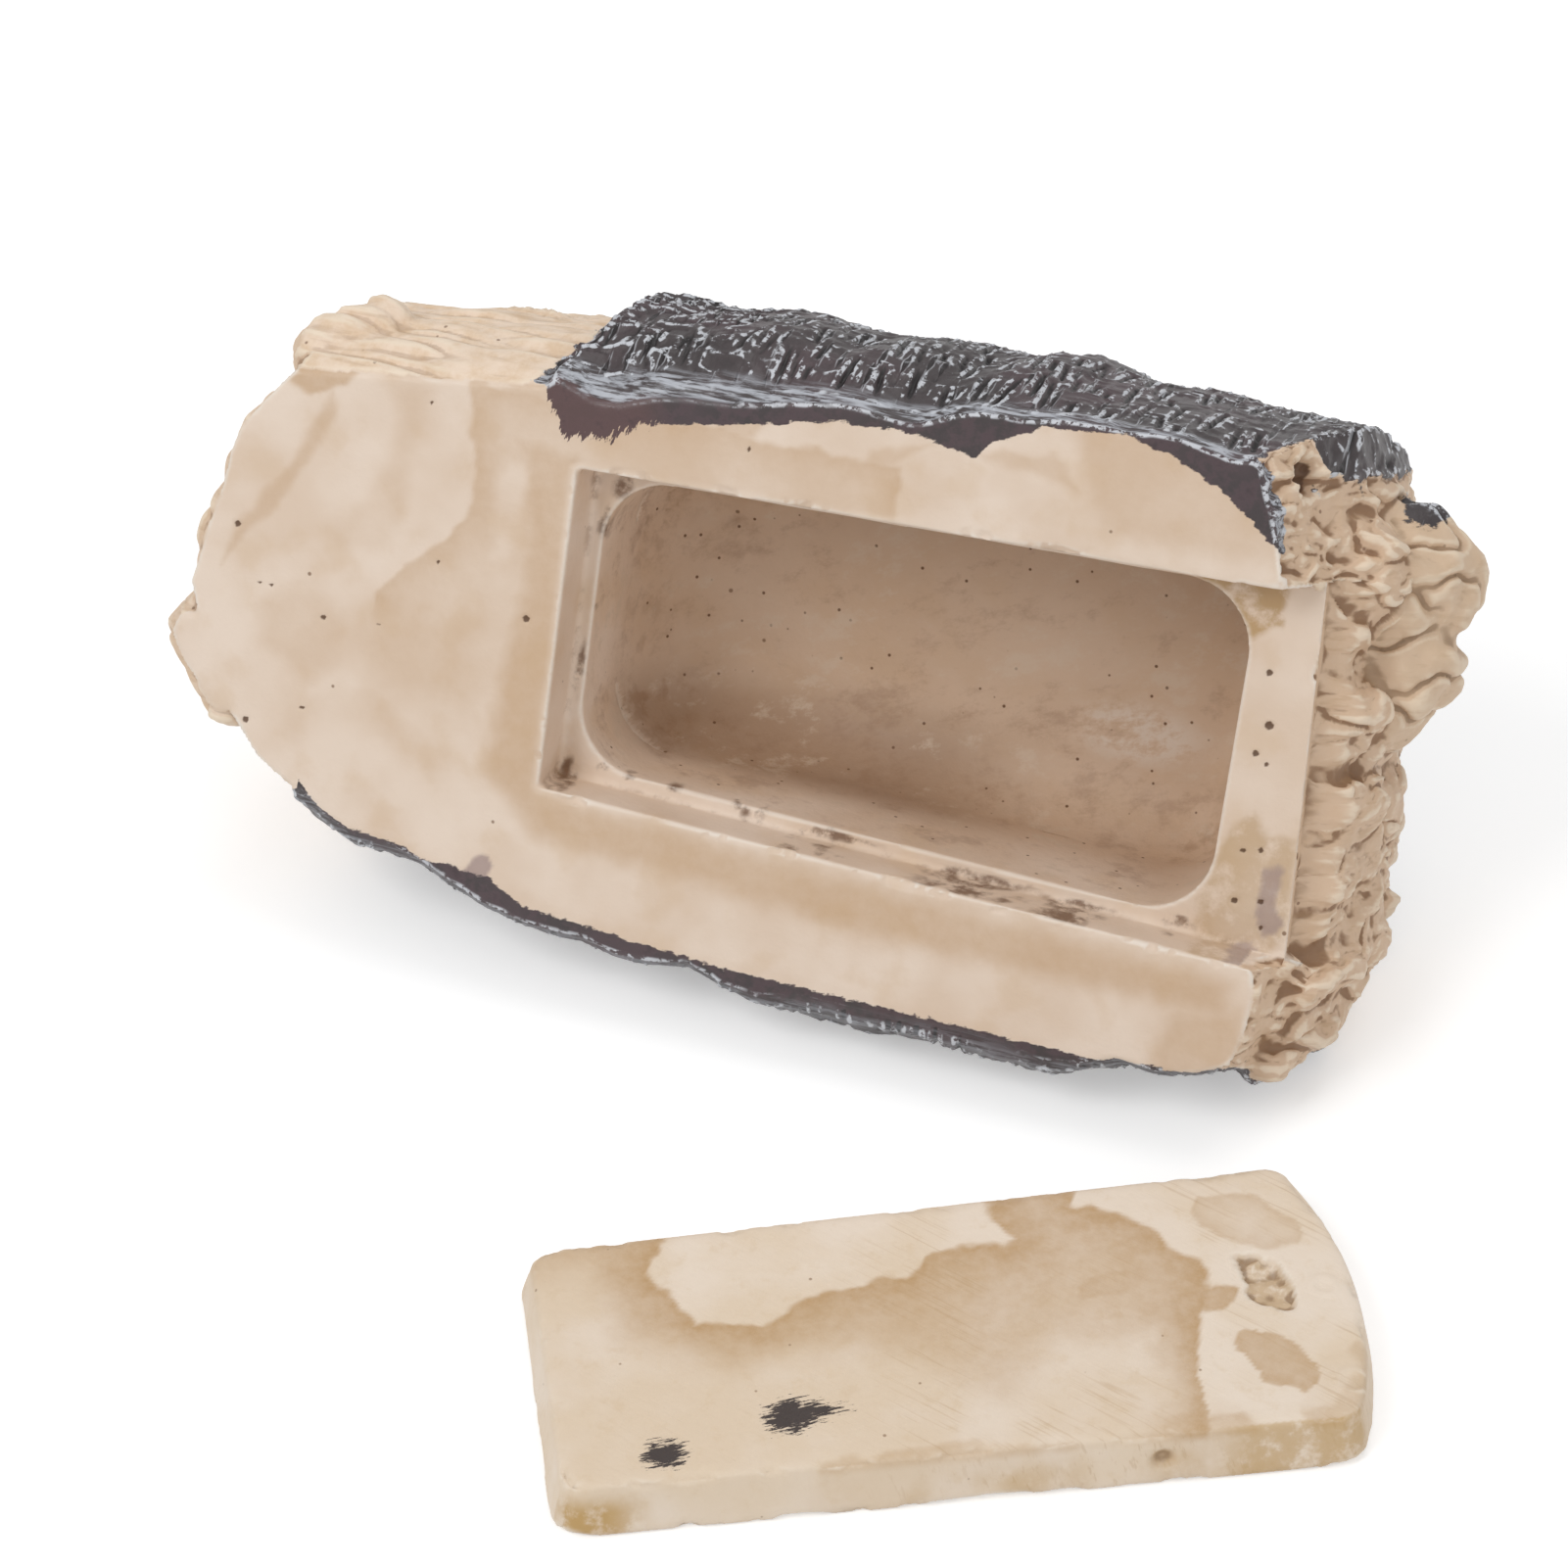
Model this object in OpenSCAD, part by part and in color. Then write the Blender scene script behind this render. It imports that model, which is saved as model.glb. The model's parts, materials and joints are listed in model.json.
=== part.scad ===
// Tree branch key hider: a cast resin branch stub with a ground flat underside,
// a rebated key pocket in that flat, and a loose lid plate that drops into the rebate.
// Millimetres. The branch is drawn in its own frame first: X along the branch, Y up the ground
// flat, Z out of the flat. lay() then leans that flat back, as the branch lies on its bark side.
// The origin is the middle of the solid pad of the ground flat, left of the rebate.

/* [Branch] */
// From the middle of the pad to the tip of the left end
left_reach = 25; // [18:1:32]
// From the middle of the pad to the broken right end, under its folds
right_reach = 116.5; // [114:0.5:130]
// Half width of the ground flat above the pocket's centre line, at its widest place
flat_up = 36; // [32:1:42]
// Half width of the ground flat below the pocket's centre line, at its widest place
flat_low = 37.6; // [36:0.2:44]
// Fall of the upper edge of the flat towards the left end, in mm per mm
flat_taper = 0.125; // [0.08:0.005:0.16]
// From the widest place to where the bowed lower edge of the flat has risen by 1 mm
low_bow = 31; // [29:0.5:36]
// Half width of the bark above the centre line, where the branch is thickest
bark_up = 37.8; // [37:0.1:44]
// How far the bark stands out below the lower edge of the flat
bark_low_swell = 3.5; // [2:0.1:6]
// Radius of the bow of the bark along the top
bark_bow_r = 600; // [400:10:1200]
// Depth of the branch behind the ground flat
branch_depth = 48; // [44:1:56]
// Depth at which the branch is widest
core_depth = 18; // [15:1:20]
// Fullness of the branch's cross-section: 2 is an ellipse, 4 is nearly square
fullness = 2.7; // [2.4:0.1:3.4]

/* [Bark and broken ends] */
// Thickness of the bark slab over the bare wood
bark_t = 3.2; // [2:0.1:4.5]
// From the middle of the pad to the bark's broken edge, along the top
bark_edge_top = 19.5; // [12:0.5:26]
// Slant of the bark's broken edge, from the top round the back to the bottom
bark_edge_run = 28; // [10:1:32]
// Height of the slow lumps in the bark
bark_lump = 0.7; // [0:0.1:1.2]
// Height of the bark plates over the shallow gaps between them
plate_rise = 0.9; // [0:0.1:1.5]
// Height of the lumps on the broken ends
end_rough = 1.5; // [0:0.1:2]
// Swell of the left end beyond its rim
left_swell = 15; // [10:1:18]
// Swell of the broken right end beyond its rim
right_swell = 4.5; // [3:0.5:9]
// Slope of the broken right end back from the ground flat, in mm per mm of depth
right_slope = 0.46; // [0.3:0.02:0.7]
// From one fold of torn fibres to the next, on the broken right end
fold_pitch = 6.4; // [5.5:0.1:8]
// How far the folds of torn fibres stand out of the broken right end
fold_rise = 2.4; // [1:0.1:3]
// Radius of the smooth stump of a side branch, at the back of the right end
stump_r = 10; // [7:0.5:12]
// How far the knots on the left end stand out beyond its tip
knot_reach = 3.3; // [1:0.1:4]

/* [Rebate and key pocket] */
// From the middle of the pad to the end wall of the rebate
rebate_start = 22; // [18:1:26]
// Length of the lipped part of the rebate
rebate_len = 85; // [80:1:88]
// Width of the rebate at its end wall
rebate_w_in = 38.5; // [34:0.5:42]
// Width of the rebate where its lips run out at the broken end
rebate_w_out = 43.5; // [40:0.5:46]
// Depth of the rebate below the ground flat
rebate_depth = 7; // [5:0.5:9]
// Ledge that carries the lid, along both sides and the end wall
ledge = 1.8; // [1.5:0.1:3]
// Length of the key pocket
pocket_len = 77; // [66:1:79]
// Depth of the key pocket below the ledge
pocket_depth = 26; // [18:1:29]
// Corner radius of the key pocket
pocket_r = 8; // [5:0.5:12]

/* [Lid] */
// Gap all round between the lid and the rebate
lid_gap = 0.5; // [0.3:0.1:0.8]
// Gap between the lid and the ledge under it
seat_gap = 0.4; // [0.3:0.1:0.6]
// How far the lid's face sits below the ground flat when it is closed
lid_sink = 0.1; // [0:0.1:0.5]
// How far the lid's round end reaches past the lips
lid_overrun = 7; // [4:0.5:9]
// Width of the lid where it passes the ends of the lips
lid_w_out = 40.5; // [38:0.5:42.5]
// Radius of the lid's round end
lid_end_r = 46; // [36:1:70]
// Draft of the lid's edges, across its thickness
lid_draft = 1.4; // [1:0.1:2.4]
// Corner radius of the lid
lid_corner_r = 2.2; // [1:0.1:4]
// Upright land at the lid's two faces
lid_land = 0.5; // [0.3:0.1:1]

/* [As it lies] */
// Angle of the ground flat back from upright
lean = 24; // [20:1:30]
// Height of the pocket's centre line above the surface, where it meets the flat
stand = 43.5; // [42:0.5:44]
// Turn of the loose lid on the surface
lid_yaw = 27; // [0:1:40]
// Middle of the loose lid in front of the branch's origin
lid_front = 56; // [55:1:75]

/* [Hidden] */
eps = 0.01;
resin = [0.87, 0.80, 0.71];
lid_resin = [0.85, 0.77, 0.66];
big = 400;

// Ring and row counts of the branch's skin
sides = 60;
cap_rows = 4;
wood_rows = 4;
bark_rows = 26;
bark_step = 1.6;

// Where the branch is widest along its length, from the middle of the pad
up_x = 83;
low_x = 62;
bark_x = 70;
low_curl = 3;
widest_flat = 0.96;
lump_along = 16;
lump_twist = 5;
plate_along = 14;
plate_wave = 70;
plate_turns = 4;
plate_twist = 3;
plate_middle = 0.4;
left_rim = left_swell - left_reach;
right_rim = right_reach - right_swell;

function mix(a, b, t) = a + (b - a) * t;
function side_pow(c) = sign(c) * pow(abs(c), 2 / fullness);

// Half widths of the ground flat and of the whole branch, above and below the centre line
function flat_top(x) = flat_up - flat_taper * max(0, up_x - x);
function flat_bottom(x) = flat_low - pow(abs(x - low_x) / low_bow, low_curl);
function wide_top(x, bare) = bark_up - pow(x - bark_x, 2) / (2 * bark_bow_r) - (bare ? bark_t : 0);
function wide_bottom(x) = flat_bottom(x) + bark_low_swell;
function front_reach(flat, wide) = core_depth
    / pow(1 - pow(min(flat / wide, widest_flat), fullness), 1 / fullness);
function back_reach(x, bare) = branch_depth - core_depth - pow(x - low_x, 2) / (2 * bark_bow_r)
    - (bare ? bark_t : 0);

// Cross-section of the branch at x, as [Y, Z] for a place round the ring
function half_wide(x, c, bare) = c >= 0 ? wide_top(x, bare) : wide_bottom(x);
function half_flat(x, c) = c >= 0 ? flat_top(x) : flat_bottom(x);
function half_deep(x, c, s, bare) = s >= 0
    ? front_reach(half_flat(x, c), half_wide(x, c, bare))
    : back_reach(x, bare);
function lumps(x, a) = bark_lump * sin(x * lump_along + a) * cos(2 * a + x * lump_twist);
function plates(x, a) = plate_rise * (abs(sin(x * plate_along + plate_wave * sin(a * plate_turns)))
    * abs(cos(a * plate_turns + x * plate_twist)) - plate_middle);
function ring_point(x, a, size, bare) = let (c = cos(a), s = sin(a))
    let (grow = bare ? 0 : lumps(x, a) + size * plates(x, a))
    [size * (half_wide(x, c, bare) + grow) * side_pow(c),
     size * (half_deep(x, c, s, bare) + grow) * side_pow(s) - core_depth];

// The two ends: a dome over the rim, lumpy, with the right end slanting back from the flat
crumple_turns = [5, 3];
crumple_twist = [260, -340];
function crumple(a, size) = end_rough * sin(180 * size)
    * sin(a * crumple_turns[0] + size * crumple_twist[0])
    * sin(a * crumple_turns[1] + size * crumple_twist[1]);
left_blunt = 2;
right_blunt = 4;
end_sag = 0.3;
function dome(a, size, blunt) = (1 - pow(size * abs(side_pow(cos(a))), blunt))
    * (1 - end_sag * pow(size * sin(a), 2));
knob_turn = 205;
knob_spread = 40;
knob_reach = 2.5;
function knob(a) = knob_reach * exp(-pow((a - knob_turn) / knob_spread, 2));
function left_end(a, size) = left_rim - left_swell * dome(a, size, left_blunt)
    - size * knob(a) + crumple(a, size);
crumple_turn = 325;
slope_depth = 20;
right_tilt = 4;
function slope_back(a, size) = right_slope
    * max(0, ring_point(right_rim, a, size, false)[1] + slope_depth);
function right_end(a, size) = right_rim + right_swell * dome(a, size, right_blunt)
    - slope_back(a, size) - right_tilt * size * cos(a)
    + crumple(a + crumple_turn, size);
// Turn and size of the ring through a point of the cross-section: up the flat, out of it
function round_part(t) = sign(t) * pow(abs(t), fullness / 2);
function end_place(x, across) = let (c = across[0], s = across[1] + core_depth)
    let (wide = c / half_wide(x, c, false), deep = s / half_deep(x, c, s, false))
    [atan2(round_part(deep), round_part(wide)),
     pow(pow(abs(wide), fullness) + pow(abs(deep), fullness), 1 / fullness)];
function on_right(across) = let (p = end_place(right_rim, across))
    concat([right_end(p[0], p[1])], across);

// Folds of torn fibres, stacked up the right end, each from the ledge over the end to the back
fold_r = fold_pitch * 0.56;
fold_lowest = -31;
fold_highest = 19;
fold_depths = [-9.5, -17, -27, -36];
fold_flush = 40;
fold_fan = 0.18;
fold_sway = 1.6;
fold_step = 130;
fold_rows = floor((fold_highest - fold_lowest) / fold_pitch);
function fold_up(k, z) = (fold_lowest + k * fold_pitch) * (1 + fold_fan * (z + core_depth) / core_depth)
    + fold_sway * sin(k * fold_step + z * fold_step / core_depth);
function fold_out(k, z) = fold_rise * (1 + sin(k * fold_step) / 2) * max(0, 1 + z / fold_flush) - fold_r;
function fold_spot(k, z) = on_right([fold_up(k, z), z]) + [fold_out(k, z), 0, 0];

// Stump of a side branch: up the flat, out of it
stump_place = [18.5, -26];
stump_in = 3.2;

// Pairs of grown-together knots on the left end: in from the knots' tip, up the flat, out of it, radius
left_knots = [
    [[5, -10, -4.5, 5], [9.2, -17.3, -4.5, 4.5]],
    [[14.9, 25, -7, 4.2], [19.8, 27, -12, 5]]];
knot_tip = -left_reach - knot_reach;

function bark_edge(a) = bark_edge_top - bark_edge_run * (1 - cos(a)) / 2;

// One row of the skin: the rows run from the left pole over the wood and the bark to the right pole
function cap_row(left, size) = [for (i = [0 : sides - 1]) let (a = 360 * i / sides)
    let (x = left ? left_end(a, size) : right_end(a, size))
    concat([x], ring_point(left ? left_rim : right_rim, a, size, left))];
function skin_row(bare, t) = [for (i = [0 : sides - 1]) let (a = 360 * i / sides)
    let (from = bare ? left_end(a, 1) : max(left_end(a, 1) + bark_step, bark_edge(a) + bark_step))
    let (to = bare ? max(left_end(a, 1) + bark_step / 2, bark_edge(a)) : right_end(a, 1))
    let (x = mix(from, to, t))
    concat([x], ring_point(x, a, 1, bare))];
rows = concat(
    [for (k = [1 : cap_rows]) cap_row(true, k / (cap_rows + 1))],
    [for (k = [0 : wood_rows]) skin_row(true, k / wood_rows)],
    [for (k = [0 : bark_rows]) skin_row(false, k / bark_rows)],
    [for (k = [cap_rows : -1 : 1]) cap_row(false, k / (cap_rows + 1))]);
last_row = len(rows) - 1;
left_pole = [left_end(0, 0), 0, -core_depth];
right_pole = [right_end(0, 0), 0, -core_depth];
skin_points = concat([left_pole], [for (row = rows) for (p = row) p], [right_pole]);
function skin_index(j, i) = 1 + j * sides + (i % sides);
skin_faces = concat(
    [for (i = [0 : sides - 1]) [0, skin_index(0, i), skin_index(0, i + 1)]],
    [for (j = [0 : last_row - 1]) for (i = [0 : sides - 1])
        [skin_index(j, i), skin_index(j + 1, i), skin_index(j + 1, i + 1)]],
    [for (j = [0 : last_row - 1]) for (i = [0 : sides - 1])
        [skin_index(j, i), skin_index(j + 1, i + 1), skin_index(j, i + 1)]],
    [for (i = [0 : sides - 1])
        [skin_index(last_row, i), len(skin_points) - 1, skin_index(last_row, i + 1)]]);

// Rebate, pocket and lid share the rebate's tapered plan
rebate_taper = (rebate_w_out - rebate_w_in) / rebate_len;
function rebate_w(along) = rebate_w_in + rebate_taper * along;
lid_t = rebate_depth - seat_gap - lid_sink;
lid_len = rebate_len + lid_overrun - lid_gap;
lid_middle = lid_len / 2;
lid_w_in = rebate_w_in - 2 * lid_gap;
lid_w_end = lid_w_in + (lid_w_out - lid_w_in) * lid_len / (rebate_len - lid_gap);
floor_z = -stand;

// The loose lid lies where one swing about a fixed line carries it from its seat in the rebate
seat_depth = lid_sink + lid_t / 2;
seat_along = rebate_start + lid_gap + lid_middle;
swing_front = lid_front + seat_depth * cos(lean);
swing_drop = stand - lid_t / 2 - seat_depth * sin(lean);
swing_lean = (1 - sin(lean)) / cos(lean);
lid_along = seat_along + tan(lid_yaw / 2) * (swing_front + swing_lean * swing_drop);

// Lean the branch back from upright, about the X axis
module lay() {
    rotate([90 - lean, 0, 0]) children();
}

// Tapered plan between two places along the rebate, drawn in by side on both sides
module taper_plan(from, to, side) {
    polygon([
        [from, -rebate_w(from) / 2 + side],
        [to, -rebate_w(to) / 2 + side],
        [to, rebate_w(to) / 2 - side],
        [from, rebate_w(from) / 2 - side]]);
}

// Plan of the lid: its square end at X = 0, its round end at X = lid_len
module lid_plan(inset) {
    offset(r = lid_corner_r) offset(delta = -lid_corner_r - inset)
        intersection() {
            polygon([
                [0, -lid_w_in / 2],
                [lid_len, -lid_w_end / 2],
                [lid_len, lid_w_end / 2],
                [0, lid_w_in / 2]]);
            translate([lid_len - lid_end_r, 0]) {
                circle(r = lid_end_r, $fn = 160);
                translate([-big, -big / 2]) square(big);
            }
        }
}

// Rough log before its flat is ground: bare wood at the left end, a bark slab over the rest
module log_skin() {
    polyhedron(points = skin_points, faces = skin_faces, convexity = 6);
}

// Torn fibres on the right end
module torn_folds() {
    for (k = [0 : fold_rows])
        hull()
            for (z = fold_depths)
                translate(fold_spot(k, z)) sphere(r = fold_r, $fn = 12);
}

// Smooth stump of a side branch on the right end
module stump() {
    translate([right_reach - stump_in, stump_place[0], stump_place[1]])
        sphere(r = stump_r, $fn = 24);
}

// Knots of wood on the left end
module knots() {
    for (pair = left_knots)
        hull()
            for (k = pair)
                translate([knot_tip + k[0], k[1], k[2]]) sphere(r = k[3], $fn = 16);
}

// Tapered rebate, open at the broken right end
module rebate_cut() {
    translate([rebate_start, 0, -rebate_depth])
        linear_extrude(rebate_depth + eps)
            taper_plan(0, rebate_len + right_reach, 0);
}

// Round-cornered key pocket below the ledge
module pocket_cut() {
    translate([rebate_start, 0, -rebate_depth - pocket_depth])
        linear_extrude(pocket_depth + rebate_depth)
            offset(r = pocket_r, $fn = 64) offset(delta = -pocket_r)
                taper_plan(ledge, ledge + pocket_len, ledge);
}

// Cast branch: log with its ground flat, rebate, pocket and the flattened patch that it lies on
module branch() {
    color(resin) difference() {
        lay() difference() {
            union() {
                log_skin();
                torn_folds();
                stump();
                knots();
            }
            translate([-big / 2, -big / 2, 0]) cube(big);
            rebate_cut();
            pocket_cut();
        }
        translate([-big / 2, -big / 2, floor_z - big]) cube(big);
    }
}

// Loose lid plate, lying in front of the branch with its narrower inner face up
module lid() {
    color(lid_resin)
        translate([lid_along, -lid_front, floor_z])
            rotate([0, 0, lid_yaw])
                translate([-lid_middle, 0, 0])
                    hull() {
                        linear_extrude(lid_land) lid_plan(0);
                        translate([0, 0, lid_t - lid_land])
                            linear_extrude(lid_land) lid_plan(lid_draft);
                    }
}

branch();
lid();
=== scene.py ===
# %% [markdown]
# # Tree branch key hider
# The real thing is a block of cast resin, made to look like a broken piece of branch. Its back is
# painted as dark bark, its ends look torn, and its underside is ground flat. A stepped pocket for
# keys is cast into that flat, and a loose lid plate closes it. This lesson loads the solid model as a
# fixed frame, gives the branch and the lid a fine skin, carves the bark and the torn fibres into
# that skin, and then paints both with procedural materials.

# %% Load the frame
import json
import math
import bpy
import numpy as np
from mathutils import Matrix, Vector, noise


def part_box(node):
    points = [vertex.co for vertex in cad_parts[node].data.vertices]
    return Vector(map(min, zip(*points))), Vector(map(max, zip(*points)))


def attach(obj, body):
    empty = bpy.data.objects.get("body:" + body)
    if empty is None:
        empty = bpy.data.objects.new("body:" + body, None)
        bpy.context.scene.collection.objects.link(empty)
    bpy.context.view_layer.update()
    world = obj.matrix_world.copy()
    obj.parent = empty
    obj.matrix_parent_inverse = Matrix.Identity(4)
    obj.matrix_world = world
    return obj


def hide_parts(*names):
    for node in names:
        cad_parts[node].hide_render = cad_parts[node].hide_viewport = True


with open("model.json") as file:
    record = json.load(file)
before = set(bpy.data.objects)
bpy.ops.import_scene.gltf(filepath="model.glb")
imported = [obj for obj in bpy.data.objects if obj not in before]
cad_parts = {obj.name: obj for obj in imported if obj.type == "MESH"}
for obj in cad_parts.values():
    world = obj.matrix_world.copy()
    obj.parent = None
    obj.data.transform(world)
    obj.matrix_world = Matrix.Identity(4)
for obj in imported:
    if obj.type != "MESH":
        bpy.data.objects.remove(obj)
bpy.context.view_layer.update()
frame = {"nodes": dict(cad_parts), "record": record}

# %% [markdown]
# The branch lies on its bark, so its ground flat leans back. Carving is easier in the flat's own
# directions: x along the branch, v up the flat, w out of it, all in millimetres. The record states
# the flat as a mount, so the mount's outward direction gives the lean.

# %% The flat's own directions
flat_out = np.array(frame["record"]["mounts"][0]["axis"])
lean = math.asin(flat_out[2])
FLAT_AXES = np.array([[1, 0, 0], [0, math.sin(lean), math.cos(lean)], flat_out])


def in_flat_mm(points_m):
    return points_m @ FLAT_AXES.T * 1000


def in_frame_m(points_mm):
    return points_mm @ FLAT_AXES / 1000


print("the flat leans back", round(math.degrees(lean), 1), "degrees")

# %% [markdown]
# A fine, even skin is what a sculptor would start from. A copy of the solid is merged into one surface,
# and a Remesh modifier in voxel mode covers it with small squares of one size. That also rounds the
# sharp edges a little, as casting and sanding do. The solid itself is never touched.

# %% An even skin over a copy of a solid
def skin_over(node_name, piece_name, square_mm, joined=()):
    mesh = frame["nodes"][node_name].data.copy()
    mesh.materials.clear()
    mesh.name = piece_name
    piece = bpy.data.objects.new(piece_name, mesh)
    bpy.context.scene.collection.objects.link(piece)
    bpy.ops.object.select_all(action="DESELECT")
    for part in (piece, *joined):
        part.select_set(True)
    bpy.context.view_layer.objects.active = piece
    if joined:
        bpy.ops.object.join()
    bpy.ops.object.mode_set(mode="EDIT")
    bpy.ops.mesh.select_all(action="SELECT")
    bpy.ops.mesh.remove_doubles(threshold=0.000001)
    bpy.ops.object.mode_set(mode="OBJECT")
    remesh = piece.modifiers.new("even_skin", "REMESH")
    remesh.mode = "VOXEL"
    remesh.voxel_size = square_mm / 1000
    remesh.use_smooth_shade = True
    bpy.ops.object.modifier_apply(modifier=remesh.name)
    sanded = piece.modifiers.new("sanded", "SMOOTH")
    sanded.factor, sanded.iterations = 0.5, 3
    bpy.ops.object.modifier_apply(modifier=sanded.name)
    print(piece_name, "has", len(piece.data.polygons), "faces")
    return piece


# %% [markdown]
# The solid's ledge ends in scallops where the torn folds start, but the real one runs out in a straight
# line. A thin slab, laid under the ledge before the skin is made, fills the scallops: the skin then
# covers both as one. In the same way two egg-shaped lumps widen the stump of the side twig: a tail that
# runs down into the torn end, and a neck between the stump and the ledge.

# %% A slab under the end of the ledge
# the slab's corners: x and v in mm at the inner side, then at the straight end
SLAB_INNER = [(104.0, -21.4), (104.0, 21.2)]
SLAB_END = [(110.6, -21.4), (108.0, 21.2)]
SLAB_TOP, SLAB_UNDER = -7.0, -10.0
bpy.ops.mesh.primitive_cube_add(size=2)
slab = bpy.context.object
for corner in slab.data.vertices:
    side = SLAB_END if corner.co.x > 0 else SLAB_INNER
    cx, cv = side[1 if corner.co.y > 0 else 0]
    cw = SLAB_TOP if corner.co.z > 0 else SLAB_UNDER
    corner.co = in_frame_m(np.array([cx, cv, cw]))
slab.data.update()

# %% Two lumps that widen the stump
# each lump's middle and half sizes: x, v, w in mm
STUMP_TAIL = np.array([(113.2, 10.5, -25.0), (9.6, 10.5, 8.5)])
STUMP_NECK = np.array([(109.0, 21.5, -17.0), (7.0, 7.5, 7.0)])
added = [slab]
for middle, halves in (STUMP_TAIL, STUMP_NECK):
    bpy.ops.mesh.primitive_uv_sphere_add(segments=48, ring_count=24, radius=1)
    lump = bpy.context.object
    for point in lump.data.vertices:
        point.co = in_frame_m(middle + np.array(point.co) * halves)
    lump.data.update()
    added.append(lump)
BRANCH_SQUARE = 0.37
branch = skin_over("branch", "branch_bark_upper", BRANCH_SQUARE, added)

# %% [markdown]
# The carving below moves points, so it needs them as arrays, with their normals. Two more helpers give
# soft steps between regions, and cloudy noise of a given size in millimetres.

# %% Points, normals, soft steps and clouds
def points_of(piece):
    flat = np.empty(len(piece.data.vertices) * 3, np.float32)
    piece.data.vertices.foreach_get("co", flat)
    return flat.reshape(-1, 3).astype(float)


def normals_of(piece):
    flat = np.empty(len(piece.data.vertices) * 3, np.float32)
    piece.data.vertex_normals.foreach_get("vector", flat)
    return flat.reshape(-1, 3).astype(float)


def move_to(piece, points_m):
    piece.data.vertices.foreach_set("co", points_m.astype(np.float32).ravel())
    piece.data.update()


def soft_step(low, high, value):
    t = np.clip((value - low) / (high - low), 0, 1)
    return t * t * (3 - 2 * t)


def cloud(points_mm, size_mm, octaves=2, shift=0.0):
    scaled = points_mm / np.array(size_mm) + shift
    return np.array([noise.fractal(p, 0.8, 2.0, octaves) for p in scaled.tolist()])


rest = in_flat_mm(points_of(branch))
out = normals_of(branch) @ FLAT_AXES.T
x, v, w = rest.T
print("branch skin:", len(rest), "points")

# %% [markdown]
# The skin is sorted into regions by place and by normal: the ground flat, the recess with its ledge and
# pocket, and the outer skin. The sizes repeat the solid's own. On the outer skin, the turn round the
# branch runs from the top over the back to the bottom, so that bark cuts can run round it.

# %% Flat, recess and outer skin
REBATE_START, REBATE_LENGTH, REBATE_DEPTH = 22.0, 85.0, 7.0
REBATE_IN, REBATE_OUT = 38.5, 43.5
LEDGE, POCKET_LENGTH, POCKET_FLOOR = 1.8, 77.0, -33.0
CORE_DEPTH = 18.0
BARK_RADIUS = 36.0

pocket_left = REBATE_START + LEDGE
pocket_right = pocket_left + POCKET_LENGTH
rebate_half = (REBATE_IN + (REBATE_OUT - REBATE_IN) * (x - REBATE_START) / REBATE_LENGTH) / 2
in_plan = (np.abs(v) < rebate_half + 0.4) & (x > REBATE_START - 0.4) & (w > POCKET_FLOOR - 0.7)
on_ledge = in_plan & (w > -REBATE_DEPTH - 0.6) & (out[:, 2] > 0.6)
on_wall = in_plan & (w > -REBATE_DEPTH - 0.6) & (x < REBATE_START + REBATE_LENGTH)
in_recess = ((in_plan & (x < pocket_right + 0.5)) | on_ledge | on_wall) & (w < -0.3)
by_mouth = (np.abs(v) < rebate_half + 1.5) & (x > REBATE_START - 1.5) & (x < REBATE_START + REBATE_LENGTH) & (w > -1.0)
on_flat = (((w > -0.4) & (out[:, 2] > 0.6)) | by_mouth) & ~in_recess
outer = ~(in_recess | on_flat)
turn = np.degrees(np.arctan2(-(w + CORE_DEPTH), v))
turn = np.where(turn < -90, turn + 360, turn)
around = np.radians(turn) * BARK_RADIUS
sheet = np.stack([x, around, np.zeros_like(x)], 1)
print("flat, recess, outer points:", [int(m.sum()) for m in (on_flat, in_recess, outer)])

# %% [markdown]
# The bark slab begins at a broken edge that slants round the back, and left of it the wood is bare. At the
# right the branch is torn off: the torn end starts at a rim that leans back from the flat. Both lines
# follow the solid, and noise makes them ragged.

# %% Bark, bare wood, torn end and left end
BARK_EDGE_TOP, BARK_EDGE_RUN, BARK_STEP = 19.5, 28.0, 1.6
RIGHT_RIM, RIGHT_SWELL, RIGHT_TILT, RIGHT_SLOPE = 112.0, 4.5, 4.0, 0.46
STUMP = np.array([113.3, 18.5, -26.0])
STUMP_R = 10.0
share_up = np.clip(v / 36.5, -1, 1)
turn_up = np.sign(share_up) * np.abs(share_up) ** 1.35
bark_edge = BARK_EDGE_TOP - BARK_EDGE_RUN * (1 - turn_up) / 2 + BARK_STEP / 2
bark_edge -= 6.0 * soft_step(-17, -23, v) * soft_step(-16, -6, w)
right_dome = (1 - share_up ** 4) * (1 - 0.3 * (1 - turn_up ** 2))
right_edge = RIGHT_RIM + RIGHT_SWELL * right_dome - RIGHT_TILT * turn_up - RIGHT_SLOPE * np.maximum(0, w + 20)
skin = np.flatnonzero(outer)
ragged = np.zeros(len(x))
ragged[skin] = 1.5 * cloud(sheet[skin] * [0.3, 1, 0], 5, 3) + 0.6 * cloud(sheet[skin], 1.8, 2, 7.0)
past_edge = x - bark_edge - ragged
overhang = np.interp(w, [-34, -21.8, -15.7, -11.3, -9.0], [30.1, 31.8, 32.4, 32.9, 40.0])
past_right = x - right_edge + 0.9 + 0.7 * ragged
past_right = np.minimum(past_right, overhang - v + 0.5 * ragged)
tail_gap = (np.linalg.norm((rest - STUMP_TAIL[0]) / STUMP_TAIL[1], axis=1) - 1) * STUMP_TAIL[1].min()
stump_gap = np.minimum(np.linalg.norm(rest - STUMP, axis=1) - STUMP_R, tail_gap)
on_stump = soft_step(0.9, 0.2, stump_gap) * soft_step(-0.5, 1.0, past_right)
torn = soft_step(-0.3, 0.3, past_right) * outer
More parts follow.
